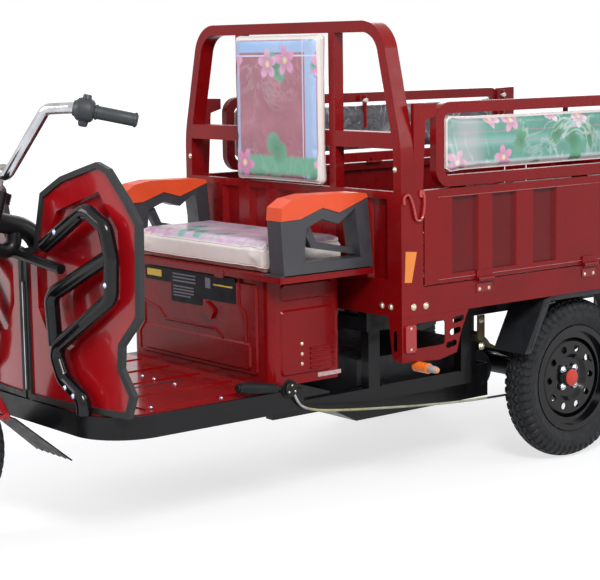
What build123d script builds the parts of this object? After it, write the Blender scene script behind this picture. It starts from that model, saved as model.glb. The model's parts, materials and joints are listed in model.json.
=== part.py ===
from build123d import *
import math
import os

os.makedirs("parts", exist_ok=True)

# Electric cargo tricycle: millimetres, X to the rider's left, Y rearward, Z up.
# The origin is on the ground, under the middle of the whole vehicle.

# Driving dimensions of the vehicle: the cab's length runs from the front axle to the bed
cab_length = 1227.0
bed_length = 1552.0
bed_overhang = 789.0
bed_width = 1026.0
rear_tyre_radius = 249.0
beam_height = 81.0
board_height = 272.0
rake_angle = 18.0

# Places that follow the driving dimensions, each by a named difference
wheel_inset = 75.0
frame_inset = 113.0
rail_inset = 183.0
tyre_difference = 9.0
tyre_room = 29.0
floor_drop = 177.0
wheelbase = cab_length + bed_length - bed_overhang
rear_track = bed_width - 2 * wheel_inset
front_tyre_radius = rear_tyre_radius - tyre_difference
beam_bottom = 2 * rear_tyre_radius + tyre_room
floor_top = beam_bottom - floor_drop

# Clearances and stock sizes shared by many pieces
fit_gap = 0.3
move_gap = 6.0
cut = 20.0
sheet = 3.0
bar = 12.0

# Places worked out from the driving dimensions: the front tyre and the tailgate's hinge pins
# are the two ends of the vehicle
gate_pin_reach = 8.0
gate_pin_radius = gate_pin_reach - 2 * fit_gap
rear_reach = bed_overhang + gate_pin_reach + gate_pin_radius
front_reach = wheelbase + front_tyre_radius
axle_y = (front_reach - rear_reach) / 2
front_y = axle_y - wheelbase
bed_side = bed_width / 2
bed_rear = axle_y + bed_overhang
bed_front = bed_rear - bed_length
beam_top = beam_bottom + beam_height
board_top = beam_top + board_height
both_sides = (1, -1)


def slab(x_span, y_span, z_span, mode=Mode.ADD):
    """A straight block between two limits on each axis."""
    low = [min(span) for span in (x_span, y_span, z_span)]
    high = [max(span) for span in (x_span, y_span, z_span)]
    middle = [(a + b) / 2 for a, b in zip(low, high)]
    with Locations(tuple(middle)):
        Box(high[0] - low[0], high[1] - low[1], high[2] - low[2], mode=mode)


def across(x):
    """The plane X = x, with Y to the right and Z up."""
    return Plane(origin=(x, 0, 0), x_dir=(0, 1, 0), z_dir=(1, 0, 0))


def facing(y):
    """The plane Y = y, with X to the right and Z up, its normal to the front."""
    return Plane(origin=(0, y, 0), x_dir=(1, 0, 0), z_dir=(0, -1, 0))


def rod(start, end, radius, mode=Mode.ADD):
    """A round bar between two points."""
    run = Vector(*end) - Vector(*start)
    with BuildSketch(Plane(origin=start, z_dir=run)) as section:
        Circle(radius)
    extrude(section.sketch, amount=run.length, mode=mode)


def tube_along(points, bend, radius):
    """A round bar bent along a row of points."""
    with BuildLine() as path:
        FilletPolyline(*points, radius=bend)
    with BuildSketch(Plane(origin=path.line @ 0, z_dir=path.line % 0)) as section:
        Circle(radius)
    sweep(section.sketch, path=path.line)


# Wheels: pressed steel rims, tubeless tyres, hubs with brake drums
rim_half = 32.0
rim_flange = 165.0
rim_seat = 152.0
rim_well = 130.0
rim_sheet = 4.0
well_half = 16.0
tyre_half = 48.0
tread_half = 38.0
shoulder_drop = 13.0
tyre_wall = 9.0
bead_foot = 12.0
shaft_radius = 14.0
hub_barrel = 26.0
disc_dish = 12.0
disc_step = 76.0
disc_rise = 112.0
vent_radius = 11.0
vent_ring = 100.0
vent_count = 10
rear_wheel_x = rear_track / 2


def wheel_plane(x, y, z):
    """The plane through a wheel's axis: across the wheel to the right, radius up."""
    return Plane(origin=(x, y, z), x_dir=(1, 0, 0), z_dir=(0, -1, 0))


def tyre_ring(centre, tyre_radius):
    """One tyre: beads, bulged side walls, rounded crown, hollow inside."""
    bulge_at = (rim_flange + tyre_radius) / 2
    shoulder = tyre_radius - shoulder_drop
    bead = rim_half - fit_gap
    seat = rim_seat + fit_gap
    inner_bulge = tyre_half - tyre_wall
    inner_tread = tread_half - tyre_wall
    inner_shoulder = shoulder - tyre_wall
    throat = rim_flange + tyre_wall
    with BuildSketch(wheel_plane(*centre)) as section:
        with BuildLine():
            Line((-bead, seat), (-bead, rim_flange + fit_gap))
            ThreePointArc((-bead, rim_flange + fit_gap), (-tyre_half, bulge_at), (-tread_half, shoulder))
            ThreePointArc((-tread_half, shoulder), (0, tyre_radius), (tread_half, shoulder))
            ThreePointArc((tread_half, shoulder), (tyre_half, bulge_at), (bead, rim_flange + fit_gap))
            Line((bead, rim_flange + fit_gap), (bead, seat))
            Line((bead, seat), (bead - bead_foot, seat))
            Line((bead - bead_foot, seat), (bead - bead_foot, throat))
            ThreePointArc((bead - bead_foot, throat), (inner_bulge, bulge_at), (inner_tread, inner_shoulder))
            ThreePointArc(
                (inner_tread, inner_shoulder), (0, tyre_radius - tyre_wall), (-inner_tread, inner_shoulder)
            )
            ThreePointArc(
                (-inner_tread, inner_shoulder), (-inner_bulge, bulge_at), (bead_foot - bead, throat)
            )
            Line((bead_foot - bead, throat), (bead_foot - bead, seat))
            Line((bead_foot - bead, seat), (-bead, seat))
        make_face()
    revolve(section.sketch, axis=Axis(centre, (1, 0, 0)))


def rim_disc(centre, side, hub_hole):
    """One steel wheel: dropped-centre rim and a dished, vented disc, outboard towards side."""
    wall = rim_sheet
    flange = rim_half + wall
    barrel = [
        (-flange, rim_flange), (-rim_half, rim_flange), (-rim_half, rim_seat),
        (-well_half, rim_seat), (-well_half, rim_well), (well_half, rim_well),
        (well_half, rim_seat), (rim_half, rim_seat), (rim_half, rim_flange),
        (flange, rim_flange), (flange, rim_seat - wall), (well_half + wall, rim_seat - wall),
        (well_half + wall, rim_well - wall), (-well_half - wall, rim_well - wall),
        (-well_half - wall, rim_seat - wall), (-flange, rim_seat - wall),
    ]
    dish = [
        (0, rim_well), (disc_dish, disc_rise), (disc_dish, disc_step), (0, disc_step - disc_dish),
        (0, hub_hole), (wall, hub_hole), (wall, disc_step - disc_dish - wall / 2),
        (disc_dish + wall, disc_step - wall / 2), (disc_dish + wall, disc_rise + wall / 2), (wall, rim_well),
    ]
    with BuildSketch(wheel_plane(*centre)) as section:
        with BuildLine():
            Polyline(*barrel, close=True)
        make_face()
        with BuildLine():
            Polyline(*[(side * x, r) for x, r in dish], close=True)
        make_face()
    revolve(section.sketch, axis=Axis(centre, (1, 0, 0)))
    x, y, z = centre
    with BuildSketch(Plane(origin=(x - flange, y, z), x_dir=(0, 1, 0), z_dir=(1, 0, 0))) as vents:
        with PolarLocations(vent_ring - shaft_radius / 2, vent_count):
            Circle(vent_radius)
    extrude(vents.sketch, amount=2 * flange, mode=Mode.SUBTRACT)


drum_radius = 80.0
drum_depth = 46.0
plate_radius = 34.0
plate_depth = 7.0
lobe_radius = 13.0
lobe_ring = 38.0
lobe_count = 4
cap_radius = 28.0
cap_depth = 12.0

for side, word in ((1, "left"), (-1, "right")):
    wheel_centre = (side * rear_wheel_x, axle_y, rear_tyre_radius)
    with BuildPart() as rear_tyre:
        tyre_ring(wheel_centre, rear_tyre_radius)
    rear_tyre.part.label = "rear_tyre_" + word
    export_step(rear_tyre.part, "parts/rear_tyre_" + word + ".step")

    with BuildPart() as rear_rim:
        rim_disc(wheel_centre, side, hub_barrel + fit_gap)
    rear_rim.part.label = "rear_rim_" + word
    export_step(rear_rim.part, "parts/rear_rim_" + word + ".step")

    # Hub: brake drum behind the disc, lobed clamp plate and centre cap in front of it
    with BuildPart() as rear_hub:
        inner_face = side * rear_wheel_x
        with BuildSketch(Plane.YZ.offset(inner_face)):
            with Locations((axle_y, rear_tyre_radius)):
                Circle(disc_step - disc_dish - rim_sheet)
        extrude(amount=-side * rim_sheet)
        with BuildSketch(Plane.YZ.offset(inner_face - side * rim_sheet)):
            with Locations((axle_y, rear_tyre_radius)):
                Circle(drum_radius)
        extrude(amount=-side * drum_depth)
        with BuildSketch(Plane.YZ.offset(inner_face)):
            with Locations((axle_y, rear_tyre_radius)):
                Circle(hub_barrel)
        extrude(amount=side * (rim_sheet + plate_depth))
        with BuildSketch(Plane.YZ.offset(inner_face + side * rim_sheet)):
            with Locations((axle_y, rear_tyre_radius)):
                Circle(plate_radius)
                with PolarLocations(lobe_ring, lobe_count, start_angle=45):
                    Circle(lobe_radius)
        extrude(amount=side * plate_depth)
        with BuildSketch(Plane.YZ.offset(inner_face + side * (rim_sheet + plate_depth))):
            with Locations((axle_y, rear_tyre_radius)):
                Circle(cap_radius)
        extrude(amount=side * cap_depth, taper=8)
        rod(
            (inner_face - side * (rim_sheet + drum_depth + cut), axle_y, rear_tyre_radius),
            (inner_face + side * (rim_sheet + plate_depth), axle_y, rear_tyre_radius),
            shaft_radius + fit_gap,
            Mode.SUBTRACT,
        )
    rear_hub.part.label = "rear_hub_" + word
    export_step(rear_hub.part, "parts/rear_hub_" + word + ".step")

drum_inner_x = rear_wheel_x - rim_sheet - drum_depth

# Front wheel, on a spindle between the fork legs
front_centre = (0, front_y, front_tyre_radius)
spindle_radius = 8.0
front_hub_half = 42.0
front_hub_radius = 30.0
with BuildPart() as front_tyre:
    tyre_ring(front_centre, front_tyre_radius)
front_tyre.part.label = "front_tyre"
export_step(front_tyre.part, "parts/front_tyre.step")

with BuildPart() as front_rim:
    rim_disc(front_centre, 1, spindle_radius + fit_gap)
    rod(
        (-front_hub_half, front_y, front_tyre_radius), (front_hub_half, front_y, front_tyre_radius),
        front_hub_radius,
    )
    rod(
        (-front_hub_half - cut, front_y, front_tyre_radius),
        (front_hub_half + cut, front_y, front_tyre_radius),
        spindle_radius + fit_gap,
        Mode.SUBTRACT,
    )
front_rim.part.label = "front_rim"
export_step(front_rim.part, "parts/front_rim.step")

# Steering: telescopic fork, yokes and stem on the raked axis
rake = math.radians(rake_angle)
fork_offset = 35.0
fork_half = 88.0
slider_radius = 21.0
stanchion_radius = 16.0
slider_length = 290.0
lower_yoke_at = 510.0
upper_yoke_at = 684.0
yoke_depth = 24.0
yoke_radius = 30.0
stem_radius = 14.0
head_radius = 25.0
axis_foot = (0, front_y + fork_offset / math.cos(rake), front_tyre_radius)
steer_plane = Plane(origin=axis_foot, x_dir=(1, 0, 0), z_dir=(0, math.sin(rake), math.cos(rake)))


def on_steer(x, back, up):
    """A point by its place across, behind and up along the steering axis."""
    place = steer_plane.from_local_coords(Vector(x, back, up))
    return (place.X, place.Y, place.Z)


axle_up = steer_plane.to_local_coords(Vector(*front_centre)).Z
axle_back = steer_plane.to_local_coords(Vector(*front_centre)).Y
with BuildPart() as fork:
    for side in both_sides:
        rod(
            on_steer(side * fork_half, axle_back, axle_up - slider_radius),
            on_steer(side * fork_half, axle_back, axle_up + slider_length),
            slider_radius,
        )
        rod(
            on_steer(side * fork_half, axle_back, axle_up + slider_length / 2),
            on_steer(side * fork_half, axle_back, upper_yoke_at + yoke_depth),
            stanchion_radius,
        )
    rod((-fork_half, front_y, front_tyre_radius), (fork_half, front_y, front_tyre_radius), spindle_radius)
    for level in (lower_yoke_at, upper_yoke_at):
        with BuildSketch(steer_plane.offset(level)):
            with BuildLine():
                Polyline(
                    (-fork_half, axle_back - yoke_radius), (fork_half, axle_back - yoke_radius),
                    (fork_half + yoke_radius / 2, axle_back), (fork_half, axle_back + yoke_radius),
                    (yoke_radius, yoke_radius), (-yoke_radius, yoke_radius),
                    (-fork_half, axle_back + yoke_radius), (-fork_half - yoke_radius / 2, axle_back),
                    close=True,
                )
            make_face()
        extrude(amount=yoke_depth)
    rod(on_steer(0, 0, lower_yoke_at), on_steer(0, 0, upper_yoke_at + yoke_depth), stem_radius)
fork.part.label = "fork"
export_step(fork.part, "parts/fork.step")

# Handlebar: a stout chrome tube bent up from two clamps on the upper yoke, slimmer inside the grips
handle_radius = 15.0
handle_bend = 38.0
bar_end_radius = 11.0
grip_length = 112.0
housing_length = 34.0
clamp_half = 70.0
clamp_stand = 46.8
clamp_lead = 20.0
clamp_y, clamp_top = on_steer(0, -clamp_lead, upper_yoke_at + yoke_depth + clamp_stand)[1:]
# One side of the bar after the clamps: distance from the middle, behind and above the clamps
handle_route = [(235.0, 24.0, 173.0), (312.0, 61.0, 176.0), (408.0, 181.0, 143.0)]
rise_bend, grip_bend, grip_end = [(x, clamp_y + back, clamp_top + up) for x, back, up in handle_route]
bend_way = Vector(*grip_bend) - Vector(*grip_end)
stout_end = tuple(Vector(*grip_end) + bend_way.normalized() * (grip_length + housing_length + fit_gap))
handle_side = [(clamp_half, clamp_y, clamp_top), rise_bend, grip_bend, stout_end]
handle_points = [(-x, y, z) for x, y, z in reversed(handle_side)] + handle_side
with BuildPart() as handlebar:
    tube_along(handle_points, handle_bend, handle_radius)
    for side in both_sides:
        rod((side * stout_end[0], *stout_end[1:]), (side * grip_end[0], *grip_end[1:]), bar_end_radius)
handlebar.part.label = "handlebar"
export_step(handlebar.part, "parts/handlebar.step")

# Two split clamps carry the bar on the upper yoke
clamp_thick = 24.0
clamp_place = 26.0
clamp_wall = 12.0
with BuildPart() as bar_clamps:
    for side in both_sides:
        with BuildSketch(across(side * clamp_place - clamp_thick / 2)) as block:
            with BuildLine():
                Polyline(
                    (clamp_y - handle_radius - clamp_wall, clamp_top),
                    (clamp_y - handle_radius, clamp_top + handle_radius + clamp_wall),
                    (clamp_y + handle_radius, clamp_top + handle_radius + clamp_wall),
                    (clamp_y + handle_radius + clamp_wall, clamp_top),
                    (clamp_y + handle_radius + clamp_wall, clamp_top - handle_radius),
                    (clamp_y - handle_radius - clamp_wall, clamp_top - handle_radius),
                    close=True,
                )
            make_face()
        extrude(block.sketch, amount=clamp_thick)
    seat_level = upper_yoke_at + yoke_depth + fit_gap
    clamp_local = steer_plane.to_local_coords(Vector(0, clamp_y, clamp_top - handle_radius))
    with BuildSketch(steer_plane.offset(seat_level)) as posts:
        with Locations(*[(side * clamp_place, clamp_local.Y) for side in both_sides]):
            Circle(clamp_wall)
    extrude(posts.sketch, amount=clamp_local.Z - seat_level)
    bore_radius = handle_radius + fit_gap
    rod((-clamp_half, clamp_y, clamp_top), (clamp_half, clamp_y, clamp_top), bore_radius, Mode.SUBTRACT)
bar_clamps.part.label = "bar_clamps"
export_step(bar_clamps.part, "parts/bar_clamps.step")

# Grips with their switch housings, bored for the bar
grip_radius = 17.0
housing_radius = 24.0


def grip_line(side):
    """The outer end of one grip, and the direction inward along the bar."""
    tip = Vector(side * grip_end[0], grip_end[1], grip_end[2])
    elbow = Vector(side * grip_bend[0], grip_bend[1], grip_bend[2])
    return tip, (elbow - tip).normalized()


with BuildPart() as grips:
    for side in both_sides:
        tip, inward = grip_line(side)
        rod(tuple(tip - inward * sheet), tuple(tip + inward * grip_length), grip_radius)
        housing_start = tip + inward * grip_length
        rod(tuple(housing_start), tuple(housing_start + inward * housing_length), housing_radius)
    chamfer(grips.edges().filter_by(GeomType.CIRCLE), length=sheet)
    for side in both_sides:
        tip, inward = grip_line(side)
        bore_end = tip + inward * (grip_length + housing_length + cut)
        rod(tuple(tip), tuple(bore_end), bar_end_radius + fit_gap, Mode.SUBTRACT)
grips.part.label = "grips"
export_step(grips.part, "parts/grips.step")

# Headlamp: a bowl on a bracket in front of the yokes, with a domed lens
lamp_radius = 78.0
lamp_depth = 95.0
lamp_wall = 3.0
lamp_level = 640.0
lamp_forward = 62.0
lamp_back_radius = 34.0
lens_dome = 14.0
lamp_origin = on_steer(0, axle_back - yoke_radius - lamp_forward, lamp_level)
lamp_plane = Plane(origin=lamp_origin, x_dir=(1, 0, 0), z_dir=(0, -1, 0))
with BuildPart() as headlamp:
    with BuildSketch(lamp_plane):
        Circle(lamp_back_radius)
    with BuildSketch(lamp_plane.offset(lamp_depth * 2 / 3)):
        Circle(lamp_radius)
    loft()
    with BuildSketch(lamp_plane.offset(lamp_depth * 2 / 3)):
        Circle(lamp_radius)
    extrude(amount=lamp_depth / 3)
    with BuildSketch(lamp_plane.offset(lamp_depth * 2 / 3)):
        Circle(lamp_radius - lamp_wall)
    extrude(amount=lamp_depth, mode=Mode.SUBTRACT)
    rod(
        on_steer(0, axle_back - yoke_radius - fit_gap, lamp_level),
        (lamp_origin[0], lamp_origin[1] - lamp_wall, lamp_origin[2]),
        lamp_back_radius / 2,
    )
    with BuildSketch(steer_plane.offset(lamp_level - lamp_back_radius / 2)):
        with Locations((0, axle_back - yoke_radius - fit_gap - lamp_wall)):
            Rectangle(2 * yoke_radius, 2 * lamp_wall)
    extrude(amount=lamp_back_radius + upper_yoke_at + yoke_depth - lamp_level - lamp_back_radius / 2)
headlamp.part.label = "headlamp"
export_step(headlamp.part, "parts/headlamp.step")

with BuildPart() as headlamp_lens:
    lens_edge = lamp_radius - lamp_wall - fit_gap
    dome_radius = (lens_edge ** 2 + lens_dome ** 2) / (2 * lens_dome)
    dome_half = math.asin(lens_edge / dome_radius) / 2
    dome_middle = (
        dome_radius * math.sin(dome_half), -lamp_depth - lens_dome + dome_radius * (1 - math.cos(dome_half))
    )
    with BuildSketch(Plane(origin=lamp_origin, x_dir=(1, 0, 0), z_dir=(0, 0, 1))):
        with BuildLine():
            Line((0, lamp_wall - lamp_depth), (lens_edge, lamp_wall - lamp_depth))
            Line((lens_edge, lamp_wall - lamp_depth), (lens_edge, -lamp_depth))
            ThreePointArc((lens_edge, -lamp_depth), dome_middle, (0, -lamp_depth - lens_dome))
            Line((0, -lamp_depth - lens_dome), (0, lamp_wall - lamp_depth))
        make_face()
    revolve(axis=Axis(lamp_origin, (0, 1, 0)))
headlamp_lens.part.label = "headlamp_lens"
export_step(headlamp_lens.part, "parts/headlamp_lens.step")

# Front fender: a channel over the tyre, on tabs to the fork sliders and two stays
fender_gap = 20.0
fender_sheet = 2.0
fender_radius = front_tyre_radius + fender_gap
fender_half = 56.0
fender_lip = 26.0
fender_rear_angle = 18.0
fender_front_angle = 118.0
stay_radius = 5.0
stay_lead_angle = 4.0
with BuildPart() as front_fender:
    inner = fender_radius
    outer = fender_radius + fender_sheet
    lip = fender_half - fender_sheet
    with BuildSketch(Plane(origin=front_centre, x_dir=(1, 0, 0), z_dir=(0, 0, 1))) as channel:
        with BuildLine():
            Polyline(
                (-fender_half, inner - fender_lip), (-fender_half, inner - fender_lip / 3),
                (-fender_half * 2 / 3, outer), (fender_half * 2 / 3, outer),
                (fender_half, inner - fender_lip / 3), (fender_half, inner - fender_lip),
                (lip, inner - fender_lip), (lip, inner - fender_lip / 3 - fender_sheet),
                (lip * 2 / 3, inner), (-lip * 2 / 3, inner),
                (-lip, inner - fender_lip / 3 - fender_sheet), (-lip, inner - fender_lip),
                close=True,
            )
        make_face()
    turned = channel.sketch.rotate(Axis(front_centre, (1, 0, 0)), fender_rear_angle)
    fender_span = fender_front_angle - fender_rear_angle
    revolve(turned, axis=Axis(front_centre, (1, 0, 0)), revolution_arc=fender_span)
    for side in both_sides:
        for lean in (fender_rear_angle + stay_lead_angle, fender_front_angle - stay_lead_angle):
            reach = inner - fender_lip / 2
            stay_top = (
                side * (fender_half + stay_radius / 2),
                front_y + reach * math.cos(math.radians(lean)),
                front_tyre_radius + reach * math.sin(math.radians(lean)),
            )
            stay_foot = (
                side * (fork_half - slider_radius - stay_radius - fit_gap), front_y,
                front_tyre_radius + 2 * stay_radius + spindle_radius,
            )
            rod(stay_foot, stay_top, stay_radius)
front_fender.part.label = "front_fender"
export_step(front_fender.part, "parts/front_fender.step")

# Mud flap: a rubber sheet hung from the fender's rear end, saw-toothed along its hem
flap_half = 92.0
flap_length = 190.0
flap_thick = 4.0
flap_teeth = 6
tooth_depth = 16.0
flap_lean = 49.0
flap_top = (
    0, front_y + fender_radius * math.cos(math.radians(fender_rear_angle)),
    front_tyre_radius + fender_radius * math.sin(math.radians(fender_rear_angle)) - fit_gap,
)
flap_plane = Plane(
    origin=flap_top, x_dir=(1, 0, 0),
    z_dir=(0, -math.cos(math.radians(flap_lean)), -math.sin(math.radians(flap_lean))),
)
with BuildPart() as mud_flap:
    tooth = 2 * flap_half / flap_teeth
    hem = []
    for number in range(flap_teeth):
        hem.append((flap_half - number * tooth, -flap_length - tooth_depth))
        hem.append((flap_half - number * tooth - tooth * 2 / 3, -flap_length))
    with BuildSketch(flap_plane):
        with BuildLine():
            Polyline(
                (-flap_half * 3 / 4, 0), (flap_half * 3 / 4, 0), *hem,
                (-flap_half, -flap_length - tooth_depth), close=True,
            )
        make_face()
    extrude(amount=flap_thick)
mud_flap.part.label = "mud_flap"
export_step(mud_flap.part, "parts/mud_flap.step")

# Floor frame: a bent channel round the foot floor, open at the rear
floor_frame_height = 60.0
floor_frame_thick = 25.0
floor_corner = 150.0
nose_room = 322.0
seat_room = 265.0
floor_half = bed_side - frame_inset
floor_front = front_y + nose_room
floor_rear = bed_front - seat_room
with BuildPart() as floor_frame:
    with BuildSketch(Plane.XY.offset(floor_top - floor_frame_height)) as ring:
        with BuildLine():
            FilletPolyline(
                (-floor_half, floor_rear), (-floor_half, floor_front),
                (floor_half, floor_front), (floor_half, floor_rear), radius=floor_corner,
            )
            Line((floor_half, floor_rear), (-floor_half, floor_rear))
        make_face()
        offset(amount=-floor_frame_thick, mode=Mode.SUBTRACT)
        with Locations((0, floor_rear)):
            Rectangle(2 * (floor_half - floor_frame_thick), 2 * floor_frame_thick + cut, mode=Mode.SUBTRACT)
    extrude(amount=floor_frame_height)
floor_frame.part.label = "floor_frame"
export_step(floor_frame.part, "parts/floor_frame.step")

# Main frame: head tube, neck, spine under the floor, rails under the bed
head_gap = 1.0
head_low = lower_yoke_at + yoke_depth + head_gap
head_high = upper_yoke_at - head_gap
neck_radius = 27.0
neck_bend = 90.0
gusset_radius = 21.0
neck_foot_back = 130.0
neck_foot_y = floor_front + neck_foot_back
# The neck's two bends: behind the floor's front edge, above the wing bar
neck_bends = [(30.0, 60.0), (115.0, -110.0)]
spine_half = 80.0
spine_width = 40.0
spine_depth = 52.0
rail_x = bed_side - rail_inset
rail_width = 40.0
rail_depth = 60.0
low_rail_width = 32.0
low_rail_depth = 40.0
low_rail_drop = 88.0
low_rail_bottom = floor_top - low_rail_drop
spring_room = 330.0
low_rail_rear = axle_y - spring_room
post_setback = 18.0
post_y = bed_front + post_setback
post_depth = 43.0
frame_inner = floor_half - floor_frame_thick - fit_gap
rear_bar_drop = 132.0
rear_bar_level = beam_bottom - rear_bar_drop
rear_bar_inset = 80.0
rear_bar_reach = 50.0
rear_bar_y = bed_rear - rear_bar_inset
rear_bar_half = rail_x + rear_bar_reach
rear_bar_depth = 50.0
rear_bar_thick = 30.0
plate_hole_radius = 3.5
plate_hole_spacing = 110.0
wing_lead = 24.0
wing_share = 0.6185
shield_base = floor_top + sheet + 2 * fit_gap
shield_crest = 39.6
shield_height = clamp_top + shield_crest - shield_base
wing_y = floor_front - wing_lead
wing_level = floor_top + wing_share * shield_height
wing_drop = 26.0
wing_half = 222.0
wing_radius = 13.0
low_rail_x = rail_x + rail_width / 2 - low_rail_width / 2
seat_beam_inset = 30.0
seat_beam_y = floor_rear - seat_beam_inset
spine_levels = (floor_top - fit_gap - spine_depth, floor_top - fit_gap)
spine_front = floor_front + floor_frame_thick + fit_gap
with BuildPart() as main_frame:
    rod(on_steer(0, 0, head_low), on_steer(0, 0, head_high), head_radius)
    neck_high = on_steer(0, head_radius / 2, (head_low + head_high) / 2 + head_radius)
    neck_low = on_steer(0, head_radius / 2, head_low + head_radius)
    tube_along(
        [
            neck_high, *[(0, floor_front + back, wing_level + up) for back, up in neck_bends],
            (0, neck_foot_y, floor_top - spine_depth / 2),
        ],
        neck_bend, neck_radius,
    )
    tube_along(
        [neck_low, (0, wing_y, wing_level), (0, wing_y + wing_radius / 2, wing_level + 5 * neck_radius / 2)],
        neck_bend / 3, gusset_radius,
    )
    for side in both_sides:
        wing_tip = (side * wing_half, wing_y + wing_radius, wing_level - wing_drop)
        rod((0, wing_y, wing_level), wing_tip, wing_radius)
        spine = (side * spine_half - spine_width / 2, side * spine_half + spine_width / 2)
        slab(spine, (spine_front, seat_beam_y), spine_levels)
        rail = (side * rail_x - rail_width / 2, side * rail_x + rail_width / 2)
        slab(rail, (bed_front + bar, bed_rear - bar), (beam_bottom - rail_depth, beam_bottom))
        low_rail = (side * low_rail_x - low_rail_width / 2, side * low_rail_x + low_rail_width / 2)
        low_rail_top = low_rail_bottom + low_rail_depth
        slab(low_rail, (seat_beam_y - spine_width, low_rail_rear), (low_rail_bottom, low_rail_top))
        for y in (post_y, low_rail_rear - post_depth):
            slab(low_rail, (y, y + post_depth), (low_rail_bottom, beam_bottom - rail_depth / 2))
        slab(
            (side * (rail_x - bar), side * (rail_x + bar)), (rear_bar_y, rear_bar_y + rear_bar_thick),
            (rear_bar_level, beam_bottom - rail_depth / 2),
        )
    # Floor cross members: half width, front face
    for half, y in (
        (floor_half / 2, spine_front), (rail_x, neck_foot_y - spine_width / 2),
        (frame_inner, (floor_front + seat_beam_y) / 2), (frame_inner, seat_beam_y - spine_width),
    ):
        slab((-half, half), (y, y + spine_width), spine_levels)
    for y in (bed_front + bar, low_rail_rear - post_depth, bed_rear - rail_width - bar):
        tie_levels = (beam_bottom - rail_depth, beam_bottom - rail_depth / 3)
        slab((-rail_x, rail_x), (y, y + rail_width), tie_levels)
    rear_bar_span = (rear_bar_y, rear_bar_y + rear_bar_thick)
    slab((-rear_bar_half, rear_bar_half), rear_bar_span, (rear_bar_level, rear_bar_level + rear_bar_depth))
    with BuildSketch(Plane.XZ.offset(-rear_bar_y - rear_bar_thick - cut)) as holes:
        hole_level = rear_bar_level + rear_bar_depth / 2
        with Locations(*[(side * plate_hole_spacing / 2, hole_level) for side in both_sides]):
            Circle(plate_hole_radius)
    extrude(holes.sketch, amount=rear_bar_thick + 2 * cut, mode=Mode.SUBTRACT)
    stem_bore = stem_radius + fit_gap
    rod(on_steer(0, 0, head_low - cut), on_steer(0, 0, head_high + cut), stem_bore, Mode.SUBTRACT)
main_frame.part.label = "main_frame"
export_step(main_frame.part, "parts/main_frame.step")

# Foot floor: a pressed red sheet with raised bands, lying on the spine and cross members
floor_inset = 14.0
band_rise = 3.0
band_count = 5
band_width_share = 0.5
seat_overlap = 70.0
seat_front = floor_rear - seat_overlap
with BuildPart() as floor_panel:
    panel_half = floor_half - floor_inset
    panel_front = floor_front + floor_inset
    with BuildSketch(Plane.XY.offset(floor_top)) as panel:
        with BuildLine():
            FilletPolyline(
                (-panel_half, seat_front), (-panel_half, panel_front),
                (panel_half, panel_front), (panel_half, seat_front), radius=floor_corner - floor_inset,
            )
            Line((panel_half, seat_front), (-panel_half, seat_front))
        make_face()
    extrude(amount=sheet)
    pitch = 2 * panel_half / band_count
    for number in range(band_count):
        middle = -panel_half + (number + 0.5) * pitch
        half = pitch * band_width_share / 2
        slab(
            (middle - half, middle + half), (floor_front + floor_corner, seat_front - cut),
            (floor_top + sheet, floor_top + sheet + band_rise),
        )
    neck_hole = neck_radius + sheet
    rod((0, neck_foot_y, floor_top - cut), (0, neck_foot_y, floor_top + cut), neck_hole, Mode.SUBTRACT)
floor_panel.part.label = "floor_panel"
export_step(floor_panel.part, "parts/floor_panel.step")

# Leg shields: a pair of moulded shells that curve back to their outer edges
shield_setback = 8.0
shield_sag = 72.0
shield_overhang = 80.0
shield_mid_y = floor_front + shield_setback
shield_edge_y = shield_mid_y + shield_sag
shield_edge_x = floor_half + shield_overhang
shield_gap = 7.0
shield_sheet = 4.0
trim_width = 15.0
trim_depth = 14.0
press_depth = 16.0
press_wall = 4.0
shield_round = (shield_edge_x ** 2 + shield_sag ** 2) / (2 * shield_sag)
# Outlines of one shield and of its pressed middle: shares of the half width, shares of the height
shield_gap_share = shield_gap / shield_edge_x
shield_outline_shares = [
    (shield_gap_share, 0),
    (0.865, 0.0), (0.908, 0.092), (0.829, 0.197), (0.838, 0.286),
    (0.917, 0.357), (0.963, 0.403), (0.975, 0.769), (0.896, 0.862),
    (0.775, 0.975), (0.688, 1.0), (0.396, 0.935), (0.208, 0.862),
    (0.129, 0.643),
    (shield_gap_share, 0.628),
]
press_outline_shares = [
    (0.125, 0.385), (0.125, 0.592), (0.229, 0.677), (0.333, 0.8), (0.688, 0.892),
    (0.823, 0.738), (0.823, 0.446), (0.688, 0.369), (0.417, 0.231), (0.229, 0.262),
]


def shield_shell(behind, ahead):
    """An upright curved band that both shields follow, between two depths from its face."""
    centre_y = shield_mid_y + shield_round
    with BuildSketch(Plane.XY.offset(shield_base)) as band:
        with Locations((0, centre_y)):
            Circle(shield_round + ahead)
            Circle(shield_round - behind, mode=Mode.SUBTRACT)
        with Locations((0, centre_y + shield_round)):
            Rectangle(4 * shield_round, 3 * shield_round, mode=Mode.SUBTRACT)
    extrude(band.sketch, amount=2 * shield_height)


def shield_prism(side, outline_shares, shrink, mode):
    """Keep or cut what lies inside an outline seen from the front."""
    outline = [(side * x * shield_edge_x, shield_base + z * shield_height) for x, z in outline_shares]
    with BuildSketch(facing(shield_edge_y + 2 * cut)) as shape:
        with BuildLine():
            Polyline(*outline, close=True)
        make_face()
        if shrink:
            offset(amount=-shrink)
    extrude(shape.sketch, amount=shield_sag + 6 * cut, mode=mode)


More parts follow.
